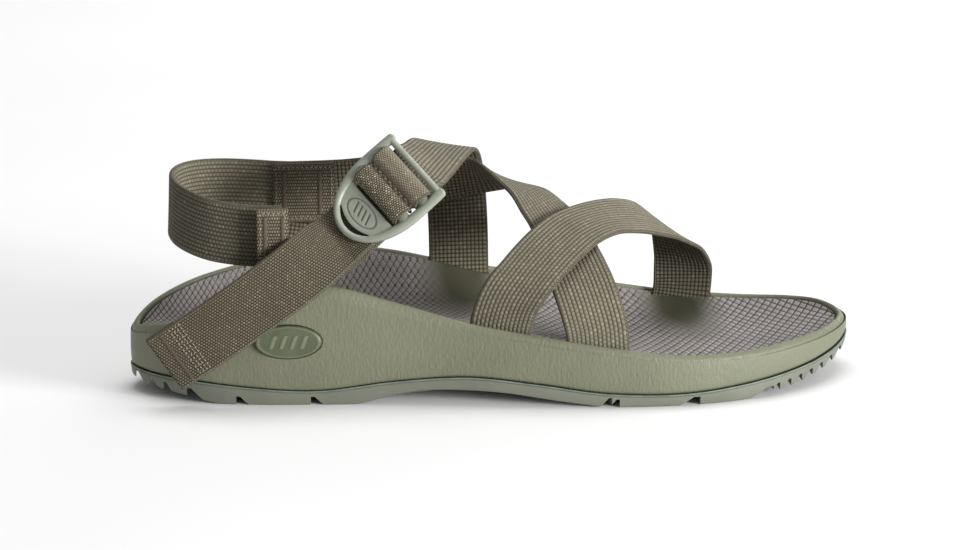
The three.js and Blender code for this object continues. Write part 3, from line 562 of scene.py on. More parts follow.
def webbing_look(name, gap, base, light, fleck, rows=WEFT_PITCH, ribs=RIB_PITCH, stagger=0.5,
                 waffle=0.5, flecks=0.2, rows_first=False):
    """Woven webbing: ribs along it, threads across it, each rib's threads staggered from the next.

    rows_first makes the crossing threads the stronger lines, as where it is pulled over a bar.
    """
    look = Look(name, roughness=0.85, specular=0.18, sheen=0.03)
    along, across = look.web_place()
    column = look.math("ADD", look.math("DIVIDE", across, ribs), 0.5)
    rib_number = look.math("FLOOR", look.math("ADD", column, 0.5))
    rib = look.math("ABSOLUTE", look.math("COSINE", look.math("MULTIPLY", column, math.pi)))
    shifted = look.math("MULTIPLY", rib_number, stagger)
    row = look.math("ADD", look.math("DIVIDE", along, rows), shifted)
    thread = look.math("ABSOLUTE", look.math("COSINE", look.math("MULTIPLY", row, math.pi)))
    thread_number = look.math("FLOOR", look.math("ADD", row, 0.5))
    pick = look.chance(look.together(rib_number, thread_number))
    strong, weak = (thread, rib) if rows_first else (rib, thread)
    rounded = look.math("POWER", strong, 0.6)
    crossing = look.math("ADD", look.math("MULTIPLY", weak, waffle), 1 - waffle)
    fibre = look.noise(look.together(along, across), 9.0, 2.0)
    height = look.math("MULTIPLY", rounded, crossing)
    height = look.math("ADD", height, look.math("MULTIPLY", fibre, 0.12))
    cloud = look.noise(look.position(), 60.0, 2.0)
    colour = look.ramp(height, (0.12, gap), (0.5, base), (1.0, light))
    bright = look.spread(pick, 1 - flecks, 1.0, 0.0, 0.75)
    crest = look.spread(height, 0.55, 0.95, 0.0, 1.0)
    colour = look.mix(look.math("MULTIPLY", bright, crest), colour, fleck)
    shade = look.spread(look.math("ADD", look.math("MULTIPLY", pick, 0.35), cloud), 0.3, 1.1, 0.82, 1.1)
    colour = look.mix(1.0, colour, look.together(shade, shade, shade), "MULTIPLY")
    look.colour(colour)
    look.bump(height, 0.00035, 0.9)
    return look.material


def midsole_look():
    look = Look("midsole_foam", roughness=0.5, specular=0.42)
    grain = look.noise(look.stretched(900, 900, 420), 1.0, 3.0, 0.6)
    colour = look.clouds(35.0, "676956", "70725d", 3.0)
    speck = look.spread(look.grain(2600, 1.0), 0.62, 0.75, 0.0, 0.18)
    look.colour(look.mix(speck, colour, "919280"))
    look.roughness(look.spread(grain, 0.3, 0.7, 0.42, 0.6))
    look.bump(grain, 0.0006, 0.6)
    return look.material


def outsole_look():
    look = Look("outsole_rubber", roughness=0.6, specular=0.4)
    grain = look.grain(1500)
    look.colour(look.clouds(50.0, "66695c", "707366", 3.0))
    look.roughness(look.spread(grain, 0.3, 0.7, 0.5, 0.72))
    look.bump(grain, 0.0002, 0.3)
    return look.material


def footbed_look():
    """Raised pads, smoother on top; the pale pad tops are the foam's colour lifted by a painted sheen, the
    dark seams are painted shade, and the smooth patches are painted a darker olive as a reflection and
    shade of the straps.
    """
    look = Look("footbed_foam", roughness=0.6, specular=0.18)
    raised = look.attribute("pad")
    # Pad tops: the foam's colour lifted by a painted sheen; on the smooth patches a darker olive painted
    # reflection and shade of the straps.
    top_with_painted_light = look.mix(look.attribute("smooth"), look.clouds(80.0, "86807d", "908a87"), "4b4a3b")
    # Seams between the pads: painted shade.
    look.colour(look.mix(look.spread(raised, 0.2, 0.7, 0.0, 1.0), "3a3832", top_with_painted_light))
    look.roughness(look.spread(raised, 0.2, 0.9, 0.75, 0.6))
    look.bump(look.grain(2200), 0.00012, 0.3)
    return look.material


def buckle_look():
    """Nylon, darker in its engraved lines."""
    look = Look("buckle_nylon", roughness=0.38, specular=0.5)
    grain = look.grain(1800)
    look.colour(look.mix(look.attribute("relief"), look.clouds(120.0, "878c7e", "929789"), "555a4e"))
    look.roughness(look.spread(grain, 0.3, 0.7, 0.32, 0.46))
    look.bump(grain, 0.00008, 0.25)
    return look.material


def badge_look():
    """Plastic, paler on its raised rim and bars."""
    look = Look("badge", roughness=0.42, specular=0.5)
    look.colour(look.mix(look.attribute("relief"), look.clouds(150.0, "474d37", "50563f"), "656c54"))
    look.bump(look.grain(1800), 0.00008, 0.25)
    return look.material


def thread_look(name, dark, light):
    look = Look(name, roughness=0.7, specular=0.3, sheen=0.15)
    strand = look.grain(3500)
    look.colour(look.ramp(strand, (0.3, dark), (0.7, light)))
    look.bump(strand, 0.00015, 0.6)
    return look.material


def plain_look(name, scale, dark, light, roughness=0.5, specular=0.4):
    look = Look(name, roughness, specular)
    look.colour(look.clouds(scale, dark, light))
    return look.material


WEB_OUTER = webbing_look("webbing_outer", "3a362d", "635e4f", "817b6a", "918a77", flecks=0.1)
# A darker copy of the outer webbing for the heel strap's outer face: painted shade on the side turned from
# the toe-side lamp.
WEB_HEEL_SHADED = webbing_look("webbing_heel_painted_shade", "23211a", "4b473b", "666153", "787263", rows=1.4, waffle=0.6,
                        flecks=0.1)
WEB_INNER = webbing_look("webbing_inner", "1f1c16", "585344", "79725f", "8b826e", waffle=0.7,
                         stagger=0.0, flecks=0.1, rows_first=True)
# A darker copy of the inner webbing for the forefoot strap's far inner face: painted shade.
WEB_INNER_SHADED = webbing_look("webbing_inner_painted_shade", "14120e", "423e32", "5c5748", "6f6958", waffle=0.7,
                              stagger=0.0, flecks=0.1, rows_first=True)
WEB_EDGE = webbing_look("webbing_edge", "2d2a24", "534e41", "766f5e", "8a826f", rows=1.1, ribs=0.8,
                        waffle=0.7)
WEB_TAIL = webbing_look("webbing_tail", "1b1912", "4c473a", "756d5b", "8f8772", rows=1.2, ribs=0.98,
                        stagger=0.36, waffle=0.85, flecks=0.12)
WEB_WRAP_SOFT = webbing_look("webbing_wrap_soft", "433e31", "6f6858", "8e8675", "aaa28e", rows=0.95,
                             ribs=0.9, waffle=0.3, flecks=0.15, rows_first=True)
WEB_WRAP_CRISP = webbing_look("webbing_wrap_crisp", "100e09", "554c3e", "958c77", "cfc7b1", rows=0.95,
                              ribs=0.9, waffle=0.8, flecks=0.4, rows_first=True)
WEB_PATCH = webbing_look("webbing_patch", "1d1b14", "514b3c", "7b7463", "948c79", rows=1.0, ribs=1.3,
                         waffle=0.7)
MIDSOLE = midsole_look()
OUTSOLE = outsole_look()
FOOTBED = footbed_look()
BUCKLE = buckle_look()
BADGE_PLASTIC = badge_look()
SHANK_NYLON = plain_look("shank_nylon", 200.0, "292a28", "343532")
FLASH = plain_look("flash", 200.0, "5f6d62", "7b897d")
TAN_THREAD = thread_look("thread_tan", "4a4034", "635748")
PALE_THREAD = thread_look("thread_pale", "7f7863", "a39b84")


# ---- Webbing ---------------------------------------------------------------------------------
# Which of a webbing's three materials a face has.
OUTER_ZONE, INNER_ZONE, EDGE_ZONE = 0, 1, 2


def web_section(thick, ribbed, width):
    """Round the webbing's cross-section: offsets across and out of it, place across, and zone."""
    points_per_rib, edge_points = 4, 6
    radius = thick / 2
    flat = width / 2 - radius
    across = np.linspace(-flat, flat, points_per_rib * RIB_COUNT + 1)
    crest = np.abs(np.cos(np.pi * (across / RIB_PITCH + 0.5))) ** 0.7
    out = radius + RIB_RELIEF * (crest - 1) * ribbed
    turn = np.linspace(0, np.pi, edge_points + 2)[1:-1]
    edge_across = flat + radius * np.sin(turn)
    edge_out = radius * np.cos(turn)
    edge_mark = flat + radius * turn
    edge = np.full(edge_points, EDGE_ZONE)
    sides = [
        (across, out, across, np.full(len(across), OUTER_ZONE)),
        (edge_across, edge_out, edge_mark, edge),
        (across[::-1], -out[::-1], across[::-1], np.full(len(across), INNER_ZONE)),
        (-edge_across[::-1], edge_out[::-1], -edge_mark, edge),
    ]
    return np.vstack([np.column_stack(side) for side in sides])


def web_mesh(name, centres, widths, outward, run, looks, thick=WEB_THICK, ribbed=True, width=WEB_WIDTH):
    """A closed strip of webbing along centres; outward points out of its outer face."""
    section = web_section(thick, ribbed, width)
    place, out, mark, side = section.T
    rows, size = len(centres), len(section)
    vertices = (centres[:, None] + widths[:, None] * place[None, :, None]
                + outward[:, None] * out[None, :, None])
    after = np.roll(np.arange(size), -1)
    zone = np.where((side == EDGE_ZONE) | (side[after] == EDGE_ZONE), EDGE_ZONE, side)
    zones = np.concatenate([np.tile(zone, rows - 1), [EDGE_ZONE, EDGE_ZONE]])
    seam_jump = 3.0
    after_mark = np.where(np.abs(mark[after] - mark) > seam_jump, mark, mark[after])
    start, end = np.repeat(run[:-1], size), np.repeat(run[1:], size)
    u = np.column_stack([start, start, end, end])
    v = np.tile(np.column_stack([mark, after_mark, after_mark, mark]), (rows - 1, 1))
    uv = np.vstack([np.stack([u, v], -1).reshape(-1, 2), np.zeros((2 * size, 2))])
    faces = ring_faces(rows, size) + ring_caps(rows, size)
    return turn_outwards(mesh_object(name, vertices.reshape(-1, 3), faces, looks, zones, uv))


def strap_axes(stations, t):
    """Centres, directions of the width and directions out of the face, at places along a strap."""
    centres = catmull([s[:3] for s in stations], t)
    lean = catmull([unit(np.array(s[3:], float)) for s in stations], t)
    tangent = unit(np.gradient(centres, axis=0))
    widths = unit(lean - tangent * np.sum(lean * tangent, axis=1, keepdims=True))
    return centres, widths, np.cross(tangent, widths)


def strap_lines(stations, step):
    """A strap's axes every step millimetres, facing away from the foot, its run and its length."""
    t, length = even_places([s[:3] for s in stations], step)
    centres, widths, outward = strap_axes(stations, t)
    inside_foot = centres * [0.92, 0, 0] + [0, 2, 42]
    if np.sum(outward * (centres - inside_foot)) < 0:
        outward = -outward
    return centres, widths, outward, np.linspace(0, length, len(t)), length


def strap(nodes, stations, outer=WEB_OUTER, inner=WEB_INNER, step=1.0, ribbed=True):
    """A strap of webbing that stands for its CAD nodes and is named after the last of them."""
    centres, widths, outward, run, length = strap_lines(stations, step)
    looks = [outer, inner, WEB_EDGE]
    obj = web_mesh(nodes[-1] + "_web", centres, widths, outward, run, looks, ribbed=ribbed)
    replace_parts(obj, *nodes)
    return obj


def slot_cutter(stations):
    """The slot that a strap runs in: its shape, grown by the clearance, at the CAD strap's steps."""
    steps = 48
    centres, widths, outward = strap_axes(stations, np.linspace(0, 1, steps + 1))
    a, b = WEB_WIDTH / 2 + SLOT_CLEARANCE, WEB_THICK / 2 + SLOT_CLEARANCE
    corners = [centres + widths * x + outward * y for x, y in ((-a, -b), (a, -b), (a, b), (-a, b))]
    return sections_solid("slot_cutter", np.stack(corners, axis=1).reshape(-1, 3), 4)


def sections_solid(name, vertices, corners):
    """Closed solid through rows of corners."""
    rows = len(vertices) // corners
    faces = ring_caps(rows, corners) + ring_faces(rows, corners)
    return turn_outwards(mesh_object(name, vertices, faces))


# ---- The sole --------------------------------------------------------------------------------
# The midsole's wall from its foot to the footbed's seat: inset, share of the way from the parting
# line to the rim, and height added to it.
MIDSOLE_WALL = [
    (1.6, 0, 0.1), (0.5, 0, 1.0), (0.1, 0.12, 1.2), (0.0, 0.5, 0), (0.15, 0.85, -0.6), (0.5, 1, -3.4),
    (1.1, 1, -1.5), (2.1, 1, -0.35), (3.1, 1, -0.15), (3.8, 1, -0.7), (4.0, 1, -1.5),
]
SEAT_DROP = LIP_DROP + FOOTBED_THICK + PART_GAP


def midsole_piece():
    steps_between = 5
    wall = catmull(MIDSOLE_WALL, np.linspace(0, 1, steps_between * (len(MIDSOLE_WALL) - 1) + 1))
    rings = [
        sole_ring(RING_SAMPLES, inset, lambda rim, line, x, s=share, up=added: line + s * (rim - line) + up)
        for inset, share, added in wall
    ]
    rings.append(sole_ring(RING_SAMPLES, LIP_WIDTH, lambda rim, line, x: rim - SEAT_DROP))
    seat = dished(FOOTBED_THICK + PART_GAP)
    obj = layered_solid("midsole_skin", rings, (10, straight_across), (14, seat), [MIDSOLE])
    turn_outwards(obj)
    carve(obj, [slot_cutter(s) for s in STRAPS_IN_SOLE] + [badge_recess()])
    soften_corners(obj, 40)
    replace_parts(obj, "midsole")
    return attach(obj, "sandal")


PAD_LENGTH = 3.7
PAD_WIDTH = 7.6
PAD_SHRINK = 0.0017                 # the pads get smaller towards the heel, by this share per millimetre
PAD_SIZE_MIDFOOT = 0.83
PAD_RELIEF = 0.5
SEAM_SHARE = 0.17                   # half width of a seam against the spacing of the seams
# Smooth patches of the footbed in front of the strap slots, also painted darker olive there as a reflection
# and shade of the straps: middle x, middle y, reach in x and in y.
SMOOTH_AND_SHADED_PATCHES = [(82, 34, 20, 60), (-8, 30, 21, 52), (-77, 34, 19, 38)]


def pad_height(x, across):
    """1 on top of the footbed's lozenge pads and 0 in the seams between them."""
    size = PAD_SIZE_MIDFOOT + PAD_SHRINK * x
    along = np.log(size) / PAD_SHRINK
    a = along / PAD_LENGTH + across / (PAD_WIDTH * size)
    b = along / PAD_LENGTH - across / (PAD_WIDTH * size)
    seam = np.minimum(np.abs(a - np.round(a)), np.abs(b - np.round(b)))
    share = np.clip(seam / SEAM_SHARE, 0, 1)
    return share * share * (3 - 2 * share)


def smoothness_and_strap_shade(x, y):
    """1 on the smooth patches in front of the strap slots, where the footbed is also painted with a
    reflection and shade of the straps, and 0 where the pads are at full height.
    """
    smooth = np.zeros(np.shape(x))
    for middle_x, middle_y, reach_x, reach_y in SMOOTH_AND_SHADED_PATCHES:
        away = np.hypot((x - middle_x) / reach_x, (y - middle_y) / reach_y)
        smooth = np.maximum(smooth, np.clip(1.5 - 1.5 * away, 0, 1))
    return smooth


def footbed_piece():
    edge = LIP_WIDTH + PART_GAP
    flat_edge, pads_sunk = 0.05, 0.8
    outline = [(0.0, FOOTBED_THICK), (0.0, 1.6), (0.15, 0.7), (0.5, 0.2), (1.1, 0.0)]
    rings = [
        sole_ring(FINE_RING_SAMPLES, edge + inset, lambda rim, line, x, d=down: rim - LIP_DROP - d)
        for inset, down in outline
    ]
    run = dish_run(rings[-1])

    def relief(points, across):
        x, y = points[..., 0], points[..., 1]
        fade = np.clip((1 - np.abs(across)) / flat_edge, 0, 1) * (1 - smoothness_and_strap_shade(x, y))
        return PAD_RELIEF * fade * (pad_height(x, run(x, y)) - pads_sunk)

    decks = (8, dished(FOOTBED_THICK)), (200, dished(0, relief))
    obj = layered_solid("footbed_skin", rings, *decks, [FOOTBED])
    turn_outwards(obj)
    carve(obj, [slot_cutter(s) for s in STRAPS_IN_SOLE])
    layout = np.array([v.co for v in obj.data.vertices]) / MM - LAYOUT_SHIFT
    x, y = layout[:, 0], layout[:, 1]
    smooth = smoothness_and_strap_shade(x, y)
    # The pad value gives the pale tops their painted sheen and the seams their painted shade.
    point_values(obj, "pad", np.maximum(pad_height(x, run(x, y)), smooth))
    # The 'smooth' value also paints the footbed darker olive there: a painted reflection and shade of the
    # straps.
    point_values(obj, "smooth", smooth)
    soften_corners(obj, 60)
    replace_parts(obj, "footbed")
    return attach(obj, "sandal")


GROOVE_MOUTH = -3.0                 # grooves start this far below the ground
GROOVE_REACH = 62.0
GROOVE_ROOF = 0.3                   # width of a saw-tooth groove's roof against its mouth
LONG_GROOVE_WIDTH = 3.0
LONG_GROOVE_DEPTH = 2.7
LONG_GROOVE_ROOF = 0.56


def tread_groove(x, width, yaw, upright_side):
    """A saw-tooth groove across the tread."""
    ground = float(tread_height(x))
    roof = ground + TREAD_DEPTH
    half = width / 2
    slope = (1 - GROOVE_ROOF) * width / TREAD_DEPTH
    across = [(-half - slope * (ground - GROOVE_MOUTH), GROOVE_MOUTH), (half, GROOVE_MOUTH), (half, roof),
              (half - GROOVE_ROOF * width, roof)]
    turn = math.radians(yaw)
    vertices = []
    for y in (-GROOVE_REACH, GROOVE_REACH):
        for along, z in across:
            dx = upright_side * along
            vertices.append((x + dx * math.cos(turn) - y * math.sin(turn),
                             dx * math.sin(turn) + y * math.cos(turn), z))
    return sections_solid("groove", vertices, 4)


def long_groove(start, end, y, steps=8):
    """A groove along the tread, following its height."""
    half = LONG_GROOVE_WIDTH / 2
    narrow = half * LONG_GROOVE_ROOF
    vertices = []
    for x in np.linspace(start, end, steps + 1):
        roof = float(tread_height(x)) + LONG_GROOVE_DEPTH
        vertices += [(x, y - half, GROOVE_MOUTH), (x, y + half, GROOVE_MOUTH), (x, y + narrow, roof),
                     (x, y - narrow, roof)]
    return sections_solid("groove", vertices, 4)


def outsole_piece():
    # Inset, height above the tread's bottom, height below the parting line (one of the two counts).
    wall = [(1.0, 0, None), (0.45, 0.35, None), (0.2, 1.2, None), (0.0, None, 1.4), (0.05, None, 0.9),
            (0.6, None, PART_GAP)]

    def height(above, below):
        return lambda rim, line, x: tread_height(x) + above if below is None else line - below

    rings = [sole_ring(RING_SAMPLES // 2, inset, height(above, below)) for inset, above, below in wall]
    under = (12, lambda points, outer, inner, across: tread_height(points[..., 0]))
    obj = layered_solid("outsole_skin", rings, under, (10, straight_across), [OUTSOLE])
    turn_outwards(obj)
    carve(obj, [tread_groove(*g) for g in TREAD_GROOVES] + [long_groove(*g) for g in LONG_GROOVES])
    soften_corners(obj, 30)
    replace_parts(obj, "outsole")
    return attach(obj, "sandal")


def on_badge(x, z, out):
    """Layout places from the badge's own: along the wall, up it and out of it."""
    return np.stack([BADGE_CENTRE[0] + x * math.cos(BADGE_YAW) + out * math.sin(BADGE_YAW),
                     BADGE_CENTRE[1] + x * math.sin(BADGE_YAW) - out * math.cos(BADGE_YAW),
                     BADGE_CENTRE[2] + z], -1).reshape(-1, 3)


def badge_recess(sides=64):
    """The oval pocket that the badge sits in, from outside the wall inwards."""
    outside = 6.0
    angle = np.linspace(0, 2 * np.pi, sides, endpoint=False)
    x = (BADGE_HALF_LENGTH + BADGE_CLEARANCE) * np.cos(angle)
    z = (BADGE_HALF_HEIGHT + BADGE_CLEARANCE) * np.sin(angle)
    ends = [on_badge(x, z, np.full(sides, out)) for out in (outside, -BADGE_THICK)]
    return sections_solid("recess", np.vstack(ends), sides)


def slanted_bars(x, z, half_length, count=4):
    """1 on a row of plain slanted bars, 0 elsewhere; x and z are from the middle of the row."""
    slant, half_height, half_width, edge = 0.35, 2.6, 0.9, 0.35
    pitch = 2 * half_length / count
    place = (x - slant * z) / pitch
    off = np.abs(place - np.floor(place) - 0.5) * pitch
    inside = (np.abs(x - slant * z) < half_length) & (np.abs(z) < half_height)
    return np.clip((half_width - off) / edge, 0, 1) * inside


def badge_piece():
    """Domed oval badge with a raised rim and a row of plain slanted bars."""
    rings, spokes = 26, 96
    front, dome, rim_rise, bar_rise, back = 0.75, 0.35, 0.35, 0.3, -1.2
    share = np.linspace(0, 1, rings + 1)[1:]
    angle = np.linspace(0, 2 * np.pi, spokes, endpoint=False)
    s, a = np.meshgrid(share, angle, indexing="ij")
    x = BADGE_HALF_LENGTH * s * np.cos(a)
    z = BADGE_HALF_HEIGHT * s * np.sin(a)
    rim = np.clip(1 - np.abs(s - 0.9) / 0.06, 0, 1)
    bars = slanted_bars(x, z, 8.0)
    rounding = 0.5 * np.clip((s - 0.96) / 0.04, 0, 1)
    out = front + rim_rise * rim + bar_rise * bars - rounding + dome * (1 - s**2)
    vertices = np.vstack([
        on_badge(x, z, out), on_badge(x[-1], z[-1], np.full(spokes, back)),
        on_badge(np.zeros(2), np.zeros(2), np.array([front + dome, back])),
    ])
    faces = ring_faces(rings + 1, spokes)
    hub, under = len(vertices) - 2, len(vertices) - 1
    for k in range(spokes):
        after = (k + 1) % spokes
        faces.append([hub, after, k])
        faces.append([under, rings * spokes + k, rings * spokes + after])
    obj = turn_outwards(mesh_object("side_badge_face", vertices, faces, [BADGE_PLASTIC]))
    point_values(obj, "relief", np.concatenate([np.maximum(rim, bars).ravel(), np.zeros(spokes + 2)]))
    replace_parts(obj, "side_badge")
    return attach(obj, "sandal")


def parting_line_piece():
    """The thin flash of rubber where the outsole meets the midsole."""
    sides, radius = 6, 0.32
    line = sole_ring(RING_SAMPLES, 0.05, lambda rim, line, x: line - 0.15)
    tangent = unit(np.roll(line, -1, axis=0) - np.roll(line, 1, axis=0))
    out = unit(np.cross(tangent, [0, 0, 1.0]))
    up = np.cross(out, tangent)
    angle = np.linspace(0, 2 * np.pi, sides, endpoint=False)
    ring = (line[:, None] + radius * out[:, None] * np.cos(angle)[None, :, None]
            + radius * up[:, None] * np.sin(angle)[None, :, None])
    faces = ring_faces(RING_SAMPLES, sides, closed=True)
    obj = turn_outwards(mesh_object("parting_flash", ring.reshape(-1, 3), faces, [FLASH]))
    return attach(obj, "sandal")


# ---- Buckle ----------------------------------------------------------------------------------
BUCKLE_SIDE = BUCKLE_OUT.cross(BUCKLE_ALONG).normalized()
BUCKLE_FACE = BUCKLE_ALONG.cross(BUCKLE_SIDE)
BUCKLE_AXES = np.array([BUCKLE_ALONG, BUCKLE_SIDE, BUCKLE_FACE])


def from_buckle(points):
    """Layout places of points given along, across and out of the buckle."""
    return BUCKLE_CENTRE + np.asarray(points, float) @ BUCKLE_AXES


def frame_half_width(u, inset):
    """Half width of the D-shaped frame at a place along it."""
    widest, fade, roundness = 1.0, 60.0, 2.2
    reach = (u - widest) / (FRAME_END + inset - widest) if u < widest else (u - widest) / fade
    return (RAIL_OUTER - inset) * math.sqrt(max(0.0, 1 - reach**roundness))


def rim_path(count=140):
    """Middle of the frame's rim from one horn round the tab to the other, and its half width there."""
    start, end = HORN_END - 0.4, FRAME_END + 1.4
    tip_length, tip_least = 1.5, 0.12
    slim_from, slim_over, slimming = -9.0, 11.0, 0.75
    half = []
    for t in np.linspace(0, 1, count):
        u = start + (end - start) * (1 - (1 - t) ** 2)
        width = RAIL_WIDTH / 2 - slimming * np.clip((slim_from - u) / slim_over, 0, 1)
        past = max(0.0, (u - start + tip_length) / tip_length)
        tip = math.sqrt(max(tip_least, 1 - past**2))
        half.append((u, frame_half_width(u, width) if t < 1 else 0.0, width * tip))
    other = [(u, -y, w) for u, y, w in reversed(half[:-1])]
    return np.array(half + other)


def tube(path, across_radius, out_radius, sides=16):
    """Vertices and faces of a closed rounded bar along a flat path; radii may change along it."""
    across_radius = np.broadcast_to(across_radius, len(path))[:, None]
    out_radius = np.broadcast_to(out_radius, len(path))[:, None]
    tangent = unit(np.gradient(path, axis=0))
    side = unit(np.cross(tangent, [0, 0, 1.0]))
    angle = np.linspace(0, 2 * np.pi, sides, endpoint=False)
    rings = (path[:, None] + side[:, None] * (across_radius * np.cos(angle))[..., None]
             + np.array([0, 0, 1.0]) * (out_radius * np.sin(angle))[..., None])
    return rings.reshape(-1, 3).tolist(), ring_faces(len(path), sides) + ring_caps(len(path), sides)


def prism(outline, low, high):
    """Vertices and faces of a closed plate from an outline of places along and across."""
    vertices = [(x, y, z) for z in (low, high) for x, y in outline]
    return vertices, ring_faces(2, len(outline)) + ring_caps(2, len(outline))


def tab_outline():
    """The tab inside the rim: a straight edge and a round end short of the rim."""
    slot_reach = 9.8
    sides = [(u, frame_half_width(u, 1.4)) for u in np.linspace(TAB_EDGE, -18.0, 12)]
    arc = [(-20.9 + 2.9 * (y / slot_reach) ** 2, y) for y in np.linspace(slot_reach, -slot_reach, 17)]
    return sides + arc + [(u, -y) for u, y in reversed(sides)]


def joined_solid(name, shells, voxel):
    """One smooth solid in buckle axes from overlapping closed shells."""
    vertices, faces = [], []
    for points, polygons in shells:
        start = len(vertices)
        vertices += points
        faces += [[start + k for k in polygon] for polygon in polygons]
    mesh = bpy.data.meshes.new(name)
    mesh.from_pydata(vertices, [], faces)
    obj = bpy.data.objects.new(name, mesh)
    bpy.context.scene.collection.objects.link(obj)
    remesh = obj.modifiers.new("fuse", "REMESH")
    remesh.mode = "VOXEL"
    remesh.voxel_size = voxel
    smooth = obj.modifiers.new("smooth", "SMOOTH")
    smooth.factor = 0.5
    smooth.iterations = 6
    return apply_modifiers(obj)


def engraving(x, y):
    """Depth share of the oval line and the plain slanted bars cut into the tab."""
    centre, half_length, half_height, half_line = -14.9, 7.9, 4.0, 0.42
    pitch, slant, bar_width, bar_edge, bar_reach = 2.5, 0.45, 0.62, 0.35, 2.2
    u, v = x - centre, y
    oval = np.hypot(u / half_height, v / half_length)
    line = np.clip(1 - np.abs(oval - 1) * half_height / half_line, 0, 1)
    along = v - slant * u
    off = np.abs(along / pitch - np.floor(along / pitch) - 0.5) * pitch
    inside = (np.abs(along) < 2 * pitch) & (np.abs(u) < bar_reach)
    return np.maximum(line, np.clip((bar_width - off) / bar_edge, 0, 1) * inside)


def buckle_piece():
    tab_back, tab_front, engraved_above, engraved_depth = -1.1, 0.55, 0.2, 0.28
    rim = rim_path()
    flat_rim = np.column_stack([rim[:, 0], rim[:, 1], np.zeros(len(rim))])
    shells = [tube(flat_rim, rim[:, 2], np.minimum(BUCKLE_THICK / 2, rim[:, 2] * 1.05))]
    for place, flat in ((END_BAR, 0.0), (BAR_A, BAR_FLAT), (BAR_B, BAR_FLAT)):
        reach = frame_half_width(place, RAIL_WIDTH / 2)
        bar = np.array([[place, y, 0.0] for y in np.linspace(-reach, reach, 12)])
        shells.append(tube(bar, BAR_RADIUS + flat, BAR_RADIUS))
    shells.append(prism(tab_outline(), tab_back, tab_front))
    obj = joined_solid("buckle_body", shells, 0.2)
    local = np.array([v.co for v in obj.data.vertices])
    cut = engraving(local[:, 0], local[:, 1]) * (local[:, 2] > engraved_above)
    local[:, 2] -= engraved_depth * cut
    places = (from_buckle(local) + LAYOUT_SHIFT) * MM
    obj.data.vertices.foreach_set("co", places.astype(np.float32).ravel())
    point_values(obj, "relief", cut)
    obj.data.materials.append(BUCKLE)
    obj.data.polygons.foreach_set("use_smooth", [True] * len(obj.data.polygons))
    obj.data.update()
    turn_outwards(obj)
    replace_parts(obj, "buckle_frame")
    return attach(obj, "buckle")


def wrap_piece(node, bar, width, look):
    """Webbing pulled round one of the buckle's flat bars."""
    dip, gap, count = 0.15 * math.pi, 0.5, 44
    radius = BAR_RADIUS + gap + WRAP_THICK / 2
    half_length = BAR_FLAT + radius * (math.pi / 2 + dip)
    run = np.linspace(-half_length, half_length, count)
    bend = np.maximum(np.abs(run) - BAR_FLAT, 0) / radius
    out = np.column_stack([np.sign(run) * np.sin(bend), np.zeros(count), np.cos(bend)])
    level = np.column_stack([np.clip(run, -BAR_FLAT, BAR_FLAT) + bar, np.zeros(count), np.zeros(count)])
    centres = from_buckle(out * [radius, 0, WRAP_RISE * radius] + level)
    widths = np.tile(np.array(BUCKLE_SIDE), (count, 1))
    obj = web_mesh(node + "_web", centres, widths, out @ BUCKLE_AXES, run + half_length,
                   [look, look, WEB_EDGE], thick=WRAP_THICK, ribbed=False, width=width)
    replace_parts(obj, node)
    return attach(obj, "buckle")


# ---- Sewing ----------------------------------------------------------------------------------
TO_OUTER_SIDE = (0, -1, 0)          # the way all patches and bar tacks look
STITCH_SIDES = 6
# Along one stitch: share of its length, share of its radius, share of its rise.
STITCH_PROFILE = [(0, 0.35, 0), (0.25, 0.9, 0.8), (0.5, 1, 1), (0.75, 0.9, 0.8), (1, 0.35, 0)]


def stitches(name, ends, outward, radius, look, body, rise=0.12):
    """Short threads from point to point, each bowed a little out of the cloth, as one piece."""
    rings = len(STITCH_PROFILE)
    thread = np.array(ring_faces(rings, STITCH_SIDES))
    caps = np.array(ring_caps(rings, STITCH_SIDES))
    vertices, faces = [], []
    angle = np.linspace(0, 2 * np.pi, STITCH_SIDES, endpoint=False)
    for start, end in ends:
        start, end = np.array(start, float), np.array(end, float)
        along = (end - start) / np.linalg.norm(end - start)
        up = unit(np.array(outward, float) - along * np.dot(outward, along))
        side = np.cross(along, up)
        faces += (thread + len(vertices)).tolist() + (caps + len(vertices)).tolist()
        for t, size, lift in STITCH_PROFILE:
            centre = start + (end - start) * t + up * rise * lift
            ring = (np.cos(angle)[:, None] * side + np.sin(angle)[:, None] * up) * radius * size
            vertices += (centre + ring).tolist()
    obj = turn_outwards(mesh_object(name, vertices, faces, [look]))
    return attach(obj, body)


def running_stitch(start, end, length=1.5, gap=0.9):
    """Ends of the stitches of one straight seam."""
    start, end = np.array(start, float), np.array(end, float)
    count = max(1, int(np.linalg.norm(end - start) / (length + gap)))
    step = (end - start) / count
    share = length / (length + gap)
    return [(start + step * k, start + step * (k + share)) for k in range(count)]


def zigzag(start, end, half_width, across, pitch):
    """Ends of the stitches of a dense zigzag bar."""
    start, end, across = np.array(start, float), np.array(end, float), np.array(across, float)
    count = int(np.linalg.norm(end - start) / pitch)
    rail = []
    for k in range(count + 1):
        aside = half_width * (1 if k % 2 else -1)
        rail.append(start + (end - start) * k / count + across * aside)
    return list(zip(rail[:-1], rail[1:]))


def bar_tack(node, x, y, z, height=17.5):
    """A bar of dense zigzag stitches across the webbing's width, on a face that looks to the outer side."""
    ends = zigzag((x, y, z - height / 2), (x, y, z + height / 2), 0.95, (1, 0, 0), 0.32)
    obj = stitches(node + "_thread", ends, TO_OUTER_SIDE, 0.24, TAN_THREAD, "sandal", rise=0.15)
    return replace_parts(obj, node)


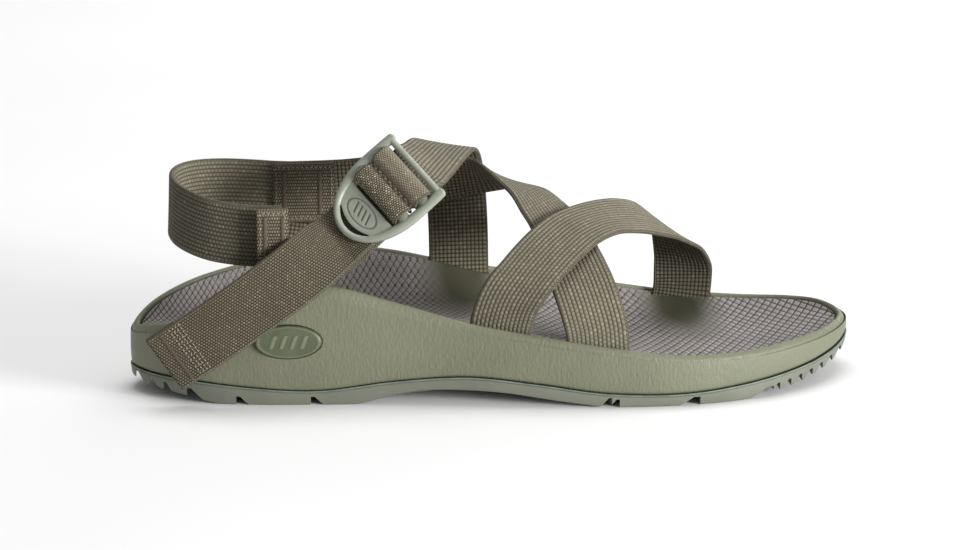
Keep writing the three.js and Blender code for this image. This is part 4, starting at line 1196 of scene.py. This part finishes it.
def patch_piece(node, x, y, z, length):
    """A sewn patch of webbing with a running stitch round its border."""
    thick, steps = 1.4, 16
    seam_from_ends, seam_from_sides, above_web = 1.3, 1.8, 0.05
    centres = np.array([[x + length * (k / steps - 0.5), y, z] for k in range(steps + 1)])
    widths = np.tile([0, 0, -1.0], (steps + 1, 1))
    out = np.tile(TO_OUTER_SIDE, (steps + 1, 1)).astype(float)
    obj = web_mesh(node + "_web", centres, widths, out, np.linspace(0, length, steps + 1),
                   [WEB_PATCH, WEB_INNER, WEB_EDGE], thick=thick)
    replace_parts(obj, node)
    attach(obj, "sandal")
    face = y + TO_OUTER_SIDE[1] * (thick / 2 + above_web)
    a, b = length / 2 - seam_from_ends, WEB_WIDTH / 2 - seam_from_sides
    corners = [(x - a, face, z - b), (x + a, face, z - b), (x + a, face, z + b), (x - a, face, z + b)]
    ends = []
    for start, end in zip(corners, corners[1:] + corners[:1]):
        ends += running_stitch(start, end, 1.1, 0.7)
    stitches(node + "_seam", ends, TO_OUTER_SIDE, 0.2, PALE_THREAD, "sandal", rise=0.08)
    return obj


HEM_ROWS = [10.2, 11.7, 13.2, 14.7]  # rows of pale stitches, this far back from the tail's end
HEM_TACK = 6.0                       # the tan bar tack, the same way


def tail_rows():
    """The rows of stitches that hold the tail's folded hem, across its outer face."""
    centres, widths, outward, run, length = strap_lines(TAIL, 0.5)
    from_sides, above_web = 1.2, 0.1
    reach = WEB_WIDTH / 2 - from_sides

    def across_at(back):
        i = int(np.argmin(np.abs(run - (length - back))))
        base = centres[i] + outward[i] * (WEB_THICK / 2 + above_web)
        return base - widths[i] * reach, base + widths[i] * reach, outward[i], i

    pale, out = [], None
    for back in HEM_ROWS:
        start, end, out, _ = across_at(back)
        pale += running_stitch(start, end, 1.0, 0.55)
    stitches("tail_hem_seam", pale, out, 0.26, PALE_THREAD, "tail", rise=0.14)
    start, end, out, i = across_at(HEM_TACK)
    along = centres[i] - centres[i - 1]
    tack = zigzag(start, end, 0.8, along / np.linalg.norm(along), 0.36)
    stitches("tail_hem_tack", tack, out, 0.2, TAN_THREAD, "tail", rise=0.12)


# ---- Stage -----------------------------------------------------------------------------------
def place_camera():
    """The view from the outer side, a little above, with the toe turned slightly away."""
    turn, elevation = math.radians(5.0), math.radians(13.0)
    distance, focal_length = 1.3, 119.2
    target = Vector((-0.0017, -0.0006, 0.042))
    forward = Vector((math.cos(elevation) * math.sin(turn), math.cos(elevation) * math.cos(turn),
                      -math.sin(elevation)))
    right = Vector((math.cos(turn), -math.sin(turn), 0))
    up = right.cross(forward)
    data = bpy.data.cameras.new("camera")
    data.lens = focal_length
    data.sensor_width = 36.0
    camera = bpy.data.objects.new("camera", data)
    rotation = Matrix((right, up, -forward)).transposed().to_4x4()
    camera.matrix_world = Matrix.Translation(target - forward * distance) @ rotation
    bpy.context.scene.collection.objects.link(camera)
    bpy.context.scene.camera = camera


def area_light(name, place, target, size, watts):
    data = bpy.data.lights.new(name, "AREA")
    data.shape = "RECTANGLE"
    data.size, data.size_y = size
    data.energy = watts
    light = bpy.data.objects.new(name, data)
    light.location = place
    light.rotation_euler = (Vector(target) - Vector(place)).to_track_quat("-Z", "Y").to_euler()
    bpy.context.scene.collection.objects.link(light)


def make_stage():
    half, world_strength = 4.0, 0.36
    corners = [(-half, -half, 0), (half, -half, 0), (half, half, 0), (-half, half, 0)]
    mesh = bpy.data.meshes.new("floor")
    mesh.from_pydata(corners, [], [[0, 1, 2, 3]])
    mesh.materials.append(plain_look("floor", 3.0, "f4f4f4", "f7f7f7", roughness=0.9, specular=0.1))
    floor = bpy.data.objects.new("floor", mesh)
    bpy.context.scene.collection.objects.link(floor)
    world = bpy.data.worlds.new("studio")
    world.use_nodes = True
    background = world.node_tree.nodes["Background"]
    background.inputs["Color"].default_value = (1, 1, 1, 1)
    background.inputs["Strength"].default_value = world_strength
    bpy.context.scene.world = world
    area_light("overhead", (0.1, 0.6, 2.6), (0, 0, 0), (1.8, 1.4), 36)
    area_light("toe_side", (1.5, -1.35, 0.42), (0, 0, 0.03), (0.8, 0.5), 59)
    area_light("behind", (0.9, 1.7, 0.6), (0, 0, 0.03), (1.6, 0.5), 11)
    bpy.context.scene.view_settings.view_transform = "Standard"


# ---- Assembly --------------------------------------------------------------------------------
place_camera()
make_stage()

midsole_piece()
footbed_piece()
outsole_piece()
parting_line_piece()
badge_piece()
buckle_piece()
wrap_piece("wrap_fixed", BAR_A, FIXED_WRAP_WIDTH, WEB_WRAP_SOFT)
wrap_piece("wrap_sliding", BAR_B, SLIDING_WRAP_WIDTH, WEB_WRAP_CRISP)

# The forefoot strap's inner face uses the darker copy of the inner webbing: painted shade.
forefoot = strap(["strap_forefoot"], FOREFOOT_STRAP, inner=WEB_INNER_SHADED)
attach(forefoot, "sandal")
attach(strap(["strap_diagonal"], DIAGONAL_STRAP), "sandal")
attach(strap(["strap_instep"], INSTEP_STRAP), "sandal")
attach(strap(["instep_loop_end"], LOOP_END), "sandal")
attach(strap(["riser_inner"], RISER_INNER), "sandal")
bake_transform(strap(["riser_outer"], RISER_OUTER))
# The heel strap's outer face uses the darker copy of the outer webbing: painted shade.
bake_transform(strap(["heel_strap"], HEEL_STRAP, outer=WEB_HEEL_SHADED, inner=WEB_OUTER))
tail = strap(["tail_under_tab", "strap_tail"], TAIL_UNDER_TAB[:2] + TAIL, outer=WEB_TAIL, ribbed=False)
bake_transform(tail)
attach(strap(["tail_hem"], TAIL_HEM), "tail")
tail_rows()

patch_piece("heel_patch_outer", -87.1, -33.0, 65.4, 12.2)
patch_piece("heel_patch_inner", -73.0, 28.9, 71.2, 25.0)
bar_tack("bar_tack_outer_rear", -90.0, -33.75, 65.4)
bar_tack("bar_tack_outer_front", -83.2, -33.75, 65.4)
bar_tack("bar_tack_inner_rear", -81.0, 28.15, 71.2)
bar_tack("bar_tack_inner_front", -66.5, 28.15, 71.2)

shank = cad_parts["arch_shank"]
shank.data.materials.clear()
shank.data.materials.append(SHANK_NYLON)
